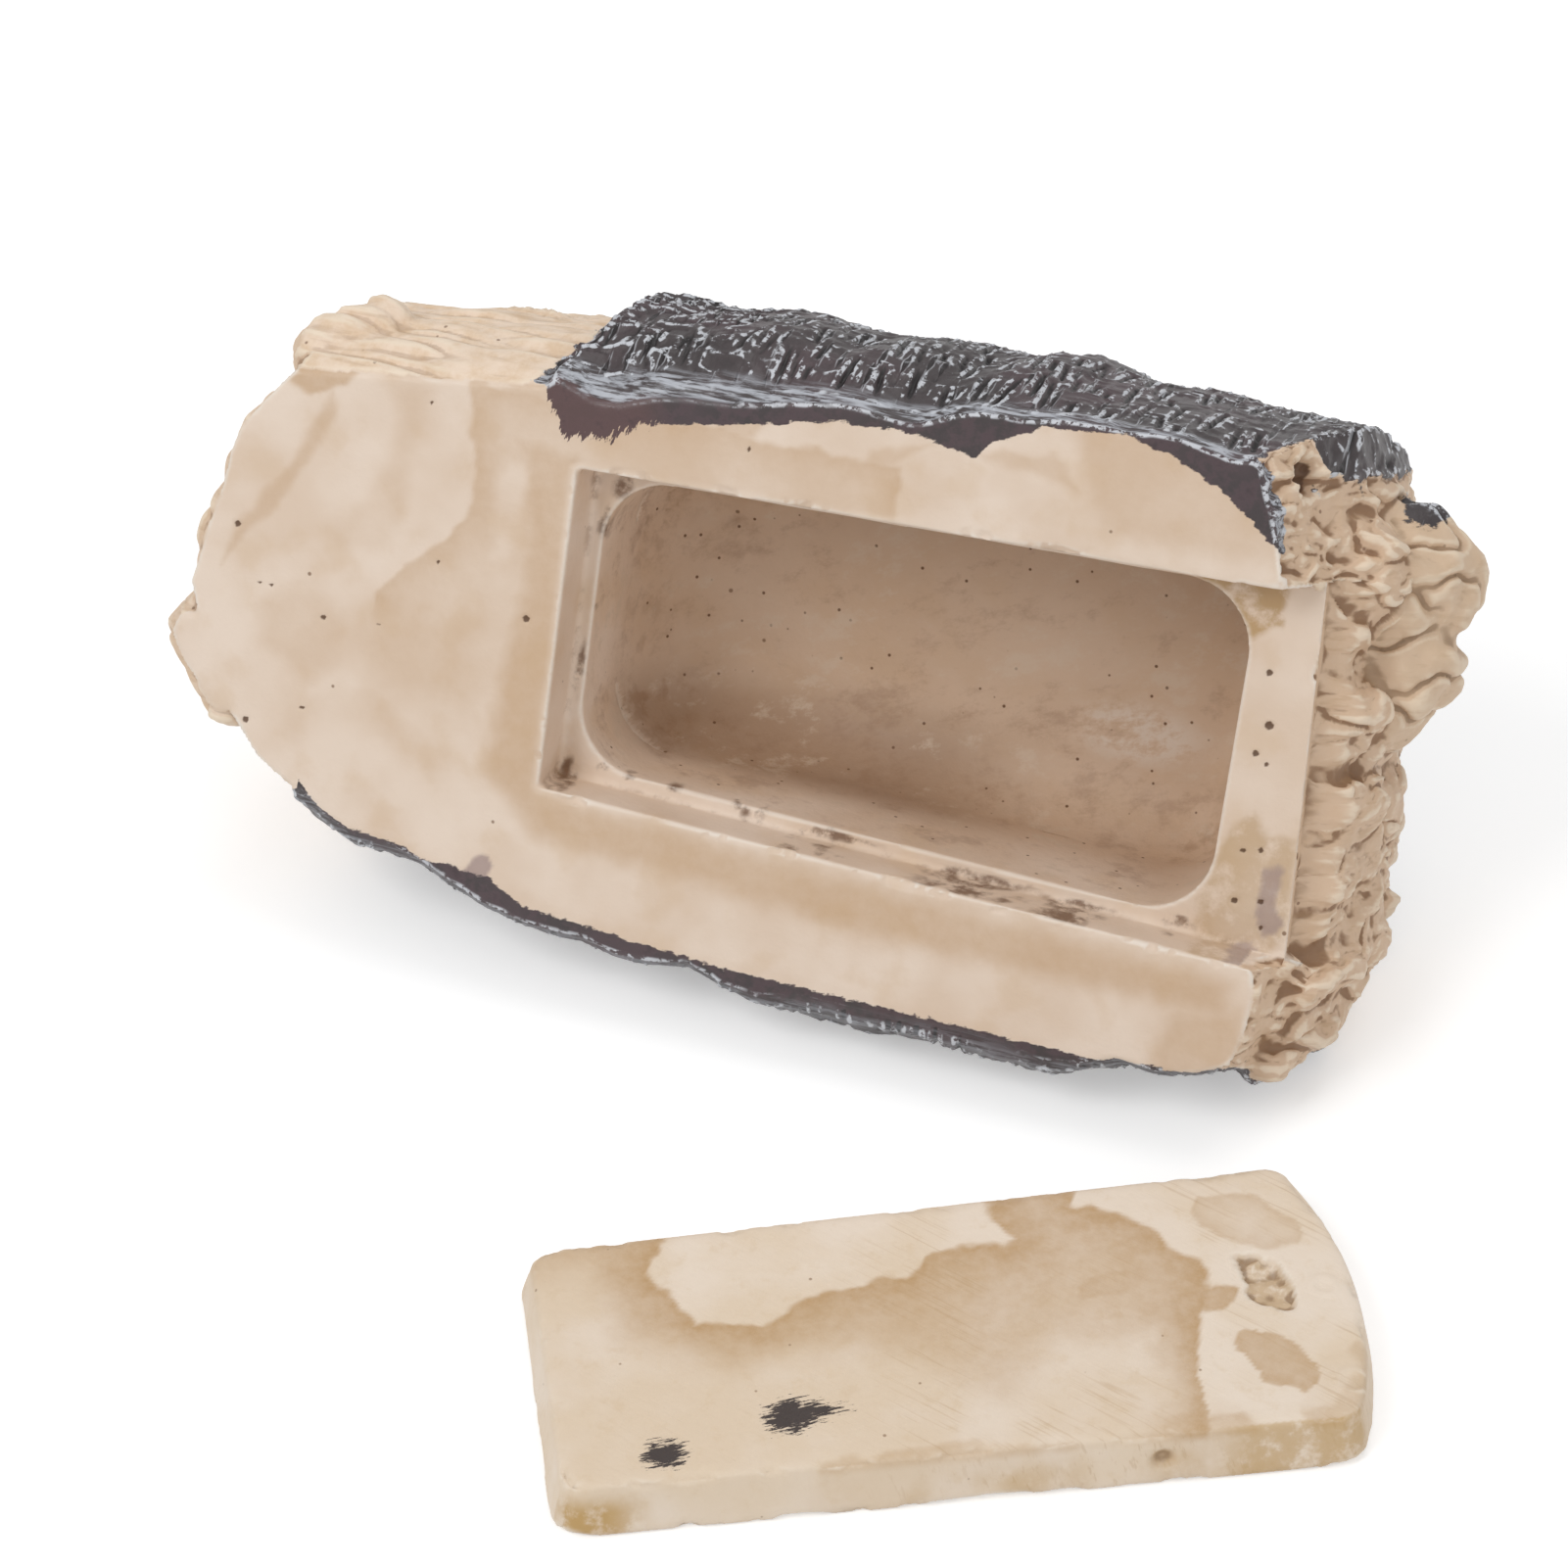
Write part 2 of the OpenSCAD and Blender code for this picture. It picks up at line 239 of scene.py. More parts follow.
left_end = soft_step(0.30, 0.55, -out[:, 0]) * soft_step(4, -3, x) * outer
bark = soft_step(-0.2, 0.2, past_edge) * (1 - torn) * outer
wood = np.clip(outer - bark - torn - left_end, 0, 1)
print("bark, wood, torn end, left end:", [int(r.sum()) for r in (bark, wood, torn, left_end)])

# %% [markdown]
# The solid's left end gathers its folds into a star at its middle, which no broken branch has. A Smooth
# modifier, kept to that area by a vertex group, takes the star out before the carving starts.

# %% Smooth the middle of the left end
STAR_ROUNDS = 160
star = branch.vertex_groups.new(name="left_middle")
in_star = left_end * soft_step(-7, -11, w)
for i in np.flatnonzero(in_star > 0.02):
    star.add([int(i)], float(in_star[i]), "REPLACE")
calmed = branch.modifiers.new("calmed", "SMOOTH")
calmed.factor, calmed.iterations, calmed.vertex_group = 0.5, STAR_ROUNDS, star.name
bpy.context.view_layer.objects.active = branch
bpy.ops.object.modifier_apply(modifier=calmed.name)
branch.vertex_groups.clear()
rest = in_flat_mm(points_of(branch))
out = normals_of(branch) @ FLAT_AXES.T
x, v, w = rest.T
print("smoothed", int((in_star > 0.02).sum()), "points of the left end")

# %% [markdown]
# Bark of this kind has short cuts that run round the branch, side by side, with raised lips. Each cut
# is a line on the unrolled sheet of bark: its place, length, slant and depth are drawn from a seeded
# generator, so every run gives the same bark. Points are moved in code, because no modifier lays
# single cuts round a branch.

# %% Cuts in the bark
random = np.random.default_rng(11)
CUT_WIDTH = 0.32
ROW_STEP = 1.9


def carve_cuts():
    depth, lips = np.zeros(len(x)), np.zeros(len(x))
    here = np.flatnonzero(bark > 0.05)
    here = here[np.argsort(x[here])]
    made = 0
    for row in np.arange(-12, 118, ROW_STEP):
        first, last = np.searchsorted(x[here], (row - 3.2, row + 3.2))
        near_row = here[first:last]
        start = -17 + random.uniform(0, 6)
        while start < 128:
            length = random.uniform(2.5, 9.0)
            middle, at = start + length / 2, row + random.uniform(-0.8, 0.8)
            slant, deep = random.uniform(-0.16, 0.16), random.uniform(0.15, 1.0)
            near = near_row[np.abs(around[near_row] - middle) < length / 2]
            across = x[near] - at - slant * (around[near] - middle)
            along = (around[near] - middle) / (length / 2)
            taper = deep * np.sqrt(1 - along ** 2)
            depth[near] = np.maximum(depth[near], taper * np.exp(-(across / CUT_WIDTH) ** 2))
            lips[near] = np.maximum(lips[near], taper * np.exp(-((np.abs(across) - 0.66) / 0.24) ** 2))
            start += length + random.uniform(0.5, 5.0)
            made += 1
    print("bark cuts:", made)
    return depth, lips


cut_depth, cut_lips = carve_cuts()

# %% [markdown]
# Under the cuts the bark is knobbly, most of all near its broken edge, where it has cracked into lumps.
# Along the ground flat it ends in a low bead. The cracks are noise with its folds turned up, which
# gives thin raised lines round flatter plates.

# %% Knobs, cracks and the bead of the bark
barked = np.flatnonzero(bark > 0.01)
knobs, cracks = np.zeros(len(x)), np.zeros(len(x))
knobs[barked] = cloud(rest[barked], 2.4, 3, 5.0)
cracks[barked] = 0.3 - np.minimum(np.abs(cloud(rest[barked], (4.4, 3.6, 3.6), 2, 2.0)), 0.3)
rough_share = soft_step(44, 22, x - 0.1 * around + 3 * knobs) * (0.7 - 0.5 * soft_step(20, 55, around)) + 0.3
bead = np.exp(-((w + 1.3) / 0.8) ** 2)
off_rim = soft_step(-1.2, -3.0, w)
bark_rise = (0.12 * knobs + 2.2 * rough_share * cracks * off_rim - 0.2 + 0.22 * cut_lips
             - 0.85 * cut_depth * (1.2 - 0.7 * rough_share) * off_rim + 0.35 * bead)
print("bark rises from", round(bark_rise[barked].min(), 2), "to", round(bark_rise[barked].max(), 2), "mm")

# %% [markdown]
# Bare wood has grain that runs along the branch: stretched noise, folded so that its valleys are sharp.
# The torn end is pulled into folds, which the solid has, and each fold is creased along its length.
# Small chips lie between them: every cell of a Voronoi pattern is a tilted chip with a crevice round it.

# %% Grain, creases and chips
grained = np.flatnonzero(wood > 0.01)
wood_rise = np.zeros(len(x))
grain_at = sheet[grained].copy()
grain_at[:, 1] += 0.12 * x[grained] + 2.0 * cloud(rest[grained], 14, 1, 26.0)
wood_rise[grained] = (2.2 * np.minimum(np.abs(cloud(grain_at, (24, 5.0, 1), 2, 4.0)), 0.4)
                      + 0.35 * np.minimum(np.abs(cloud(grain_at, (16, 1.5, 1), 2, 9.0)), 0.3) - 0.5
                      + 0.35 * cloud(rest[grained], 9, 2, 16.0))
flaky = soft_step(6.0, 3.5, np.hypot((x[grained] - 8.5) / 1.3, around[grained] - 7.0))
wood_rise[grained] += 0.5 * flaky * np.abs(cloud(rest[grained], 1.6, 3, 36.0))


def chips(points_mm, size_mm, tilt, shift):
    rise = np.empty(len(points_mm))
    for i, p in enumerate((points_mm / np.array(size_mm) + shift).tolist()):
        gaps, seeds = noise.voronoi(p)
        way = noise.cell_vector(seeds[0] * 7.3) * 2 - Vector((1, 1, 1))
        lift = 0.5 * (noise.cell(seeds[0] * 3.1) - 0.5)
        step_in = 1 - math.exp(-((gaps[1] - gaps[0]) / 0.15) ** 2)
        rise[i] = (lift + 0.5 + tilt * (Vector(p) - seeds[0]).dot(way)) * step_in - 0.5
    return rise


scaly = np.flatnonzero((torn + left_end) > 0.01)
swirl = np.stack([cloud(rest[scaly], 8, 2, s) for s in (1.0, 21.0, 41.0)], 1)
creases = np.abs(cloud(rest[scaly] + 2.0 * swirl, (14, 3.6, 12), 2, 6.0))
chip_rise = chips(rest[scaly] + 2.0 * swirl, (11.0, 5.6, 9.0), 1.6, 3.0)
flake_rise = chips(rest[scaly] + 1.5 * swirl, (5.2, 2.8, 4.6), 1.5, 17.0)
print("grained points:", len(grained), "- scaly points:", len(scaly))

# %% Put the rises together
torn_rise, left_rise = np.zeros(len(x)), np.zeros(len(x))
shard_share = 0.35 + 0.65 * soft_step(12, 22, v[scaly])
calm = 1 - 0.85 * on_stump[scaly]
lumps = cloud(rest[scaly], 7.0, 2, 27.0)
torn_rise[scaly] = calm * (0.35 * np.minimum(creases, 0.5) + 0.2 + 1.25 * chip_rise + (0.3 + 0.35 * shard_share) * flake_rise)
stump_fold = np.abs(cloud(rest[scaly] + 2.5 * swirl, (9.0, 7.0, 9.0), 1, 31.0))
torn_rise[scaly] += on_stump[scaly] * (1.4 * lumps - 1.0 * np.exp(-(stump_fold / 0.07) ** 2))
fine_fibres = np.abs(cloud(rest[scaly] + 1.0 * swirl, (5.0, 1.2, 4.0), 3, 51.0))
torn_rise[scaly] += (0.32 - 0.2 * on_stump[scaly]) * (np.minimum(fine_fibres, 0.5) - 0.15)
rim_share = soft_step(9, 2, -w[scaly])
left_rise[scaly] = 0.5 * np.minimum(creases, 0.5) - 0.15 + (0.2 + 0.45 * rim_share) * chip_rise + 0.9 * lumps
KNOT, KNOT_HALVES = np.array([104.2, 33.2, -7.5]), np.array([2.0, 2.2, 2.6])
by_knot = np.flatnonzero(np.linalg.norm(rest - KNOT, axis=1) < 8)
knot_way = rest[by_knot] + 1.1 * np.stack([cloud(rest[by_knot], 2.4, 3, s) for s in (5.0, 25.0, 45.0)], 1)
knot_hole = np.zeros(len(x))
knot_hole[by_knot] = np.exp(-np.linalg.norm((knot_way - KNOT) / KNOT_HALVES, axis=1) ** 4)
low_swell = soft_step(44, 58, x) * soft_step(98, 80, x) * soft_step(-26, -33, v) * np.exp(-((w + 3.5) / 3.0) ** 2)
left_swell = soft_step(-12, -8, x) * soft_step(10, -2, x) * soft_step(-18, -23, v) * np.exp(-((w + 3.0) / 2.6) ** 2)
bark_rise = bark_rise + 1.7 * low_swell + 1.5 * left_swell
rise = bark * bark_rise + wood * wood_rise + torn * torn_rise + left_end * left_rise
rise *= (0.35 + 0.65 * soft_step(0.0, 0.9, -w)) * outer
rise -= 2.4 * knot_hole * outer
print("carved from", round(rise.min(), 2), "to", round(rise.max(), 2), "mm")

# %% [markdown]
# The cast pocket has no sharp corners inside: its walls run into its floor in a wide curve, widest at the
# left. Floor points near a wall are lifted onto a quarter circle, whose radius changes from side to side,
# and the wall points beside them are moved up to meet it.

# %% Curve the pocket's walls into its floor
POCKET_CORNER = 8.0
CURVE_LEFT, CURVE_LOW, CURVE_REST = 14.0, 8.0, 5.0
carved = rest + out * rise[:, None]
pocket = np.flatnonzero(in_recess & (w < -REBATE_DEPTH - 1.0))
half = rebate_half[pocket] - LEDGE
beyond_x = np.abs(x[pocket] - (pocket_left + pocket_right) / 2) - (POCKET_LENGTH / 2 - POCKET_CORNER)
beyond_v = np.abs(v[pocket]) - (half - POCKET_CORNER)
round_gap = np.hypot(np.maximum(beyond_x, 0), np.maximum(beyond_v, 0)) + np.minimum(np.maximum(beyond_x, beyond_v), 0)
from_wall = np.maximum(POCKET_CORNER - round_gap, 0)
radius = np.maximum(CURVE_REST, CURVE_LOW * soft_step(4, -10, v[pocket]))
radius = radius + (CURVE_LEFT - radius) * soft_step(pocket_left + 26, pocket_left + 6, x[pocket])
height = np.maximum(w[pocket] - POCKET_FLOOR, 0)
on_curve = radius - np.sqrt(np.maximum(radius ** 2 - np.maximum(radius - from_wall, 0) ** 2, 0))
lifted = np.where(height < radius, np.maximum(on_curve * (1 - height / radius) + height, height), height)
carved[pocket, 2] = POCKET_FLOOR + lifted
print("curved", len(pocket), "pocket points")

# %% [markdown]
# Where a torn fold still stands out past the slab beside the ledge, it is pushed back to the straight line.

# %% Trim the folds beside the ledge
(low_end_x, low_end_v), (top_end_x, top_end_v) = SLAB_END
straight = np.interp(v, [low_end_v, top_end_v], [low_end_x, top_end_x])
beside = soft_step(-12.0, -8.5, w) * (x > SLAB_INNER[0][0]) * (np.abs(v) < 22) * (w < -5)
over = np.maximum(carved[:, 0] - straight - 0.2, 0) * beside
carved[:, 0] -= over
print("trimmed by up to", round(float(over.max()), 2), "mm")

# %% [markdown]
# Sanding has rounded the lips of the rebate and nicked them. Nicks are pushed in where a cloud is high,
# only next to an edge. Small blow holes from air in the resin are pressed into the flat and the ledge.

# %% Nicks and blow holes
# each hole: x, v, w, radius in mm
BLOW_HOLES = [
    (-19, 4.5, 0, 0.50), (-14, -2, 0, 0.32), (-15.5, -2, 0, 0.30), (-8.5, -16, 0, 0.35), (-15.5, -19, 0, 0.50),
    (6.5, 5, 0, 0.35), (3.5, 23.5, 0, 0.30), (-7, -4.5, 0, 0.40), (0, -4, 0, 0.30), (18, 0.5, 0, 0.55),
    (103.5, 10.5, -7, 0.50), (104.5, 4.5, -7, 0.65), (103.5, 1, -7, 0.50), (105, 0, -7, 0.35), (106, -10, -7, 0.45),
    (104, -10.5, -7, 0.40), (107, -16, -7, 0.45), (104, -16.5, -7, 0.50), (107.5, -19, -7, 0.40), (42, 25.5, 0, 0.35)]
past_x, past_v = REBATE_START - x, np.abs(v) - rebate_half
edge_gap = np.where(np.maximum(past_x, past_v) > 0, np.hypot(np.maximum(past_x, 0), np.maximum(past_v, 0)), -np.maximum(past_x, past_v))
lip = np.flatnonzero((on_flat | in_recess) & (w > -2.5) & (edge_gap < 2.0) & (x > REBATE_START - 2))
nick = soft_step(0.18, 0.6, cloud(rest[lip], 3.2, 3, 8.0)) * soft_step(1.3, 0.2, edge_gap[lip]) * soft_step(-1.6, -0.3, w[lip])
carved[lip, 2] -= 0.5 * nick
HOLE_SHARE = 0.75
holes = np.zeros(len(x))
for hx, hv, hw, radius in BLOW_HOLES:
    near = np.flatnonzero((np.abs(x - hx) < 3) & (np.abs(v - hv) < 3) & (np.abs(w - hw) < 1.2) & ~outer)
    gap = np.hypot(x[near] - hx, v[near] - hv) / (HOLE_SHARE * radius)
    carved[near, 2] -= 0.7 * radius * np.exp(-gap ** 4)
    holes[near] = np.maximum(holes[near], np.exp(-(gap / 1.15) ** 4))
carved[:, 2] = np.minimum(carved[:, 2], 0.0)
FLOOR_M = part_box("branch")[0].z
frame_points = in_frame_m(carved)
frame_points[:, 2] = np.maximum(frame_points[:, 2], FLOOR_M)
move_to(branch, frame_points)
group = branch.vertex_groups.new(name="torn")
group.add(np.flatnonzero(torn > 0.5).tolist(), 1.0, "REPLACE")
settle = branch.modifiers.new("settle", "SMOOTH")
settle.factor, settle.iterations, settle.vertex_group = 0.5, 1, group.name
bpy.context.view_layer.objects.active = branch
bpy.ops.object.modifier_apply(modifier=settle.name)
branch.vertex_groups.clear()
print("pressed", len(BLOW_HOLES), "blow holes; nicked", int((nick > 0.3).sum()), "points")

# %% [markdown]
# Paint sits differently on ridges and in crevices: a dry brush only catches the ridges, and brown dirt stays in the
# crevices.
# A curvature measure tells them apart: how far a point stands out from the mean of its neighbours. It is stored on the
# points with the other values that the paint needs, and it also places painted shade in the recess's corners and a
# painted highlight on its lips.

# %% How far points stand out
def stand_out(piece, rounds):
    points = points_of(piece) * 1000
    pairs = np.empty(len(piece.data.edges) * 2, np.int32)
    piece.data.edges.foreach_get("vertices", pairs)
    a, b = pairs.reshape(-1, 2).T
    count = np.bincount(a, minlength=len(points)) + np.bincount(b, minlength=len(points))
    mean = points.copy()
    for _ in range(rounds):
        total = [np.bincount(a, mean[b, k], len(points)) + np.bincount(b, mean[a, k], len(points)) for k in range(3)]
        mean = np.stack(total, 1) / count[:, None]
    return ((points - mean) * normals_of(piece)).sum(1)


def store(piece, name, values):
    attribute = piece.data.attributes.new(name, "FLOAT", "POINT")
    attribute.data.foreach_set("value", np.asarray(values, np.float32))


store(branch, "ridge", stand_out(branch, 5))
store(branch, "hollow", -stand_out(branch, 40))
print("ridges and hollows stored")

# %% [markdown]
# Bark paint laps over the upper rim onto the flat, in a wavy border with two tongues and a feathered patch
# near the broken edge of the bark, and a little over the lower rim. The border is stored as a distance
# in millimetres, above zero where there is paint, because a distance stays crisp between points.

# %% Where the bark paint ends
# along the upper rim: x, and the v down to which the paint reaches
PAINT_TOP = [
    (15.5, 40), (17, 28), (20, 23), (25.5, 23.5), (29, 26), (40, 28), (51, 30.5), (60, 31), (68, 29.5), (69.5, 31.5), (75, 34.5), (85, 35.5),
    (90, 34), (96, 31.5), (104, 25.5), (105.5, 25), (106.5, 40)]
# along the lower rim
PAINT_LOW = [
    (-9.5, -40), (-8, -25), (-3, -29.5), (6, -30), (8, -31), (17, -31.5), (21.5, -34), (33, -35), (47, -36), (92, -36.5), (100, -35.5), (104, -40)]
top_x, top_v = np.array(PAINT_TOP).T
low_x, low_v = np.array(PAINT_LOW).T
on_front = np.maximum(v - np.interp(x, top_x, top_v), np.interp(x, low_x, low_v) - v)
on_back = np.minimum(past_edge, -past_right)
bark_spot = np.minimum(v - 27.3, 2.8 - np.hypot(x - 115.0, 0.35 * (w + 29.0)))
on_back = np.maximum(on_back, np.where(past_right > -0.5, bark_spot, -9))
painted_mm = np.where(outer, np.maximum(on_back, np.where((w > -1.6) & (on_front > 0), on_front, -9)), on_front)
by_ledge = (np.abs(v) < rebate_half + 1.5) & (x > pocket_right) & (w > -14)
painted_mm = np.where(in_recess | by_ledge, -9, painted_mm)
painted_mm = np.where(knot_hole > 0.25, np.minimum(painted_mm, 0.4 - knot_hole * 2), painted_mm)
store(branch, "painted_mm", np.clip(painted_mm, -9, 9))
store(branch, "around", around)
store(branch, "cut", cut_depth * bark)
store(branch, "fibres", np.clip(torn + left_end + wood, 0, 1))
store(branch, "calm", on_stump)
store(branch, "torn", np.maximum(torn, 0.5 * left_end))
print("paint border through", len(PAINT_TOP), "and", len(PAINT_LOW), "points")

# %% [markdown]
# The resin has drunk dirty water: tan stains with a dark border where the wet edge dried, fading towards
# their middle. Each stain is given as an outline on the flat. The distance to the outline,
# wobbled by a cloud, gives both the sharp edge and the fade.

# %% Stains as outlines
def inside_mm(places, outline):
    corners = np.array(outline, float)
    best, inside = np.full(len(places), 1e3), np.zeros(len(places), bool)
    for p, q in zip(corners, np.roll(corners, -1, 0)):
        side = q - p
        t = np.clip((places - p) @ side / (side @ side), 0, 1)
        best = np.minimum(best, np.hypot(*(places - p - t[:, None] * side).T))
        crosses = (p[1] > places[:, 1]) != (q[1] > places[:, 1])
        at = p[0] + (places[:, 1] - p[1]) * side[0] / (side[1] if side[1] else 1e-9)
        inside ^= crosses & (places[:, 0] < at)
    return np.where(inside, best, -best)


def lay_stains(places, stains):
    tone = np.zeros(len(places))
    for outline, strength, edge, fade, middle in stains:
        gap = inside_mm(places, outline)
        deep = middle + (1 - middle) * np.exp(-np.maximum(gap, 0) / fade)
        tone = np.maximum(tone, strength * soft_step(-edge, edge, gap) * deep)
    return tone


# %% Stains on the flat
# each stain: outline (x, v), strength, softness of the edge in mm, fade in mm, what is left in its middle
FLAT_STAINS = [
    ([(-16, 24), (-9, 26), (-6.5, 26), (-7, 23.5), (-11.5, 21.5)], 0.62, 0.5, 6, 0.8),
    ([(-8.5, 22.5), (-8, 19.5), (-13, 10), (-20.5, -0.5), (-19, 4.5), (-14.5, 11), (-10, 19)], 0.42, 0.7, 2, 0.8),
    ([(1, 0), (8, 5), (15, -1), (13, -15), (3, -12), (-4, -7)], 0.26, 4.5, 6, 0.9),
    ([(-1, 25), (-0.5, 18), (-3, 10.5), (-7.5, 6.5), (-6, 4.5), (0, 5), (2.5, 17), (3, 25)], 0.22, 1.6, 6, 0.5),
    ([(-15, -4), (-10.5, -1), (-7.5, -1), (-3, -6), (-8, -12.5), (-14.5, -9.5)], 0.30, 2.0, 6, 0.7),
    ([(-12, -17), (0, -12), (10, -18), (12, -24), (2, -27), (-8, -22)], 0.24, 3.0, 8, 0.7),
    ([(9.5, 26.5), (11, 24), (17.5, 24), (19, 26), (17, 29)], 0.42, 0.9, 5, 0.8),
    ([(14, 22), (22, 21), (22, -20), (106, -24), (106, -28), (66, -28), (22, -25), (15, -18), (17, 10)], 0.55, 2.0, 6, 0.75),
    ([(37, 28.5), (44.5, 30), (40.5, 24)], 0.42, 0.8, 4, 0.8),
    ([(54.5, 24.5), (56, 28), (63, 30), (57, 26)], 0.36, 0.7, 4, 0.8),
    ([(45, 22.5), (47.5, 25), (50.5, 24), (50, 21.5), (48.5, 23)], 0.34, 0.5, 4, 0.8),
    ([(68, 30.5), (77, 31.5), (80.5, 28), (71, 29.5)], 0.34, 0.7, 4, 0.8),
    ([(78, 37), (84, 24), (104, 24), (108, 27), (98, 33), (88, 37)], 0.36, 2.0, 7, 0.75),
    ([(98, -40), (100, -29), (108, -27), (112, -40)], 0.42, 1.6, 7, 0.75),
    ([(-8, -31), (34, -36.5), (100, -38), (100, -36), (34, -34.5), (-6, -28)], 0.30, 0.8, 3, 0.9)]
PALE_FINGER = [(12.5, 16), (14, 18), (16, 17), (16, 12), (15, 7.5), (13, 7.5)]
PALE_LIP = [(-12, -60), (-8, -17), (2, -17), (11, -21), (17, -26.5), (34, -28.5), (60, -30), (96, -30.5), (99, -60)]
ground = np.flatnonzero(on_flat)
wobble = np.stack([cloud(rest[ground], 4.0, 3, s) for s in (2.0, 12.0)], 1)
flat_places = rest[ground][:, :2] + 0.7 * wobble
# the sharpest border, which runs down the flat and fades out
WET_EDGE = [(8, 27), (9.5, 16.5), (10, 12), (7.5, 8.5), (2.5, 3.5), (-1, 0), (-1, -3), (-8, -60), (60, -60), (60, 27)]
tan = np.zeros(len(x))
tan[ground] = lay_stains(flat_places, FLAT_STAINS)
tan[ground] = np.maximum(tan[ground], lay_stains(flat_places, [(WET_EDGE, 0.52, 0.45, 4.5, 0.3)]) * soft_step(-7, 0, v[ground]))
tan[ground] *= 1 - 0.8 * soft_step(-1.2, 0.8, inside_mm(flat_places, PALE_FINGER))
tan[ground] *= 1 - 0.75 * soft_step(-3, 3, inside_mm(flat_places, PALE_LIP))
tan[ground] *= 1 - 0.6 * soft_step(1.1, 0.4, edge_gap[ground])
print("laid", len(FLAT_STAINS), "stains on the flat")

# %% Stains and dirt in the recess
LEDGE_STAINS = [
    ([(93, 21), (96, 15.5), (101, 14), (104, 16.5), (104, 23)], 0.95, 0.5, 6, 0.8),
    ([(102, -8), (104.5, -5.5), (107, -8.5), (110, -8), (110.5, -19.5), (108, -24), (101, -24), (100, -17)], 0.62, 0.8, 4, 0.6)]
LILAC_OVALS = [
    ([(107, -12), (109, -11.5), (108.5, -16), (110, -18), (108, -20), (106.5, -17.5)], 0.9, 0.35, 2, 0.7),
    ([(104, -22), (107, -21), (108.5, -23), (105.5, -24)], 0.8, 0.35, 2, 0.8)]
# each smear of dirt on the ledge: x, v, half length, half width
DIRT_SMEARS = [
    (23, -18, 0.7, 1.6), (24, -19.5, 1.0, 0.8), (36.5, -18, 1.0, 0.6), (45.5, -19, 0.7, 0.7), (47.5, -19, 0.7, 0.8), (44, -18.5, 0.7, 0.4),
    (56.5, -19.5, 5.5, 0.6), (74.5, -20.5, 7.0, 0.5), (86, -21, 4.0, 0.5), (98, -20.5, 2.5, 0.7), (27.5, -17.5, 0.8, 0.7), (30.5, -18, 0.6, 0.4),
    (25.5, 16.5, 1.4, 1.6), (24, 12, 0.6, 2.5), (24.5, 1.5, 0.5, 0.5), (23, -6, 0.5, 3.5)]
sunk = np.flatnonzero(in_recess)
sunk_wobble = np.stack([cloud(rest[sunk], 2.6, 3, s) for s in (3.0, 13.0)], 1)
sunk_places = rest[sunk][:, :2] + 0.6 * sunk_wobble
on_shelf = soft_step(-8.2, -7.4, w[sunk])
ochre, lilac, dirt = np.zeros(len(x)), np.zeros(len(x)), np.zeros(len(x))
PAINT_SHRED = [(13, -32.5), (15.5, -29), (17, -29), (17.5, -30), (16.5, -32.5)]
lilac[ground] = lay_stains(flat_places, [(PAINT_SHRED, 1.0, 0.3, 2, 0.9)])
ochre[sunk] = lay_stains(sunk_places, LEDGE_STAINS) * on_shelf
lilac[sunk] = lay_stains(sunk_places, LILAC_OVALS) * on_shelf
for dx, dv, half_long, half_wide in DIRT_SMEARS:
    gap = np.hypot((sunk_places[:, 0] - dx) / half_long, (sunk_places[:, 1] - dv) / half_wide)
    dirt[sunk] = np.maximum(dirt[sunk], soft_step(1.25, 0.5, gap) * soft_step(-10, -7.6, w[sunk]))
holes = np.maximum(holes, soft_step(0.45, 0.9, knot_hole))
for name, values in (("tan", tan), ("ochre", ochre), ("lilac", lilac), ("dirt", dirt), ("holes", holes)):
    store(branch, name, values)
print("laid", len(LEDGE_STAINS) + len(LILAC_OVALS), "stains and", len(DIRT_SMEARS), "smears in the recess")

# %% [markdown]
# The skin is now cut into seven pieces, so that each stays light: two halves of bark, bare wood with the
# left end, torn end, ground flat, ledge and pocket. Neighbours keep the same points along their seam
# and the normals that the whole skin had, so no seam shows.

# %% Cut the skin into pieces
PIECES = ["branch_bark_upper", "branch_bare_wood", "branch_torn_end", "branch_ground_flat", "branch_ledge", "branch_pocket", "branch_bark_lower"]
LOWER_HALF = 95.0
kind = np.where(turn > LOWER_HALF, 6, 0)
kind = np.where(wood + left_end > 0.5, 1, kind)
kind = np.where(torn > 0.5, 2, kind)
kind = np.where(on_flat, 3, kind)
kind = np.where(in_recess, np.where(w > -REBATE_DEPTH - 1.0, 4, 5), kind)
corners = np.empty(len(branch.data.loops), np.int32)
branch.data.loops.foreach_get("vertex_index", corners)
starts = np.empty(len(branch.data.polygons), np.int32)
branch.data.polygons.foreach_get("loop_start", starts)
face_kind = np.maximum.reduceat(kind[corners], starts)
label = branch.data.attributes.new("piece", "INT", "FACE")
label.data.foreach_set("value", face_kind.astype(np.int32))
for k, values in enumerate(normals_of(branch).T):
    store(branch, f"normal_{k}", values)
branch_pieces = [branch]
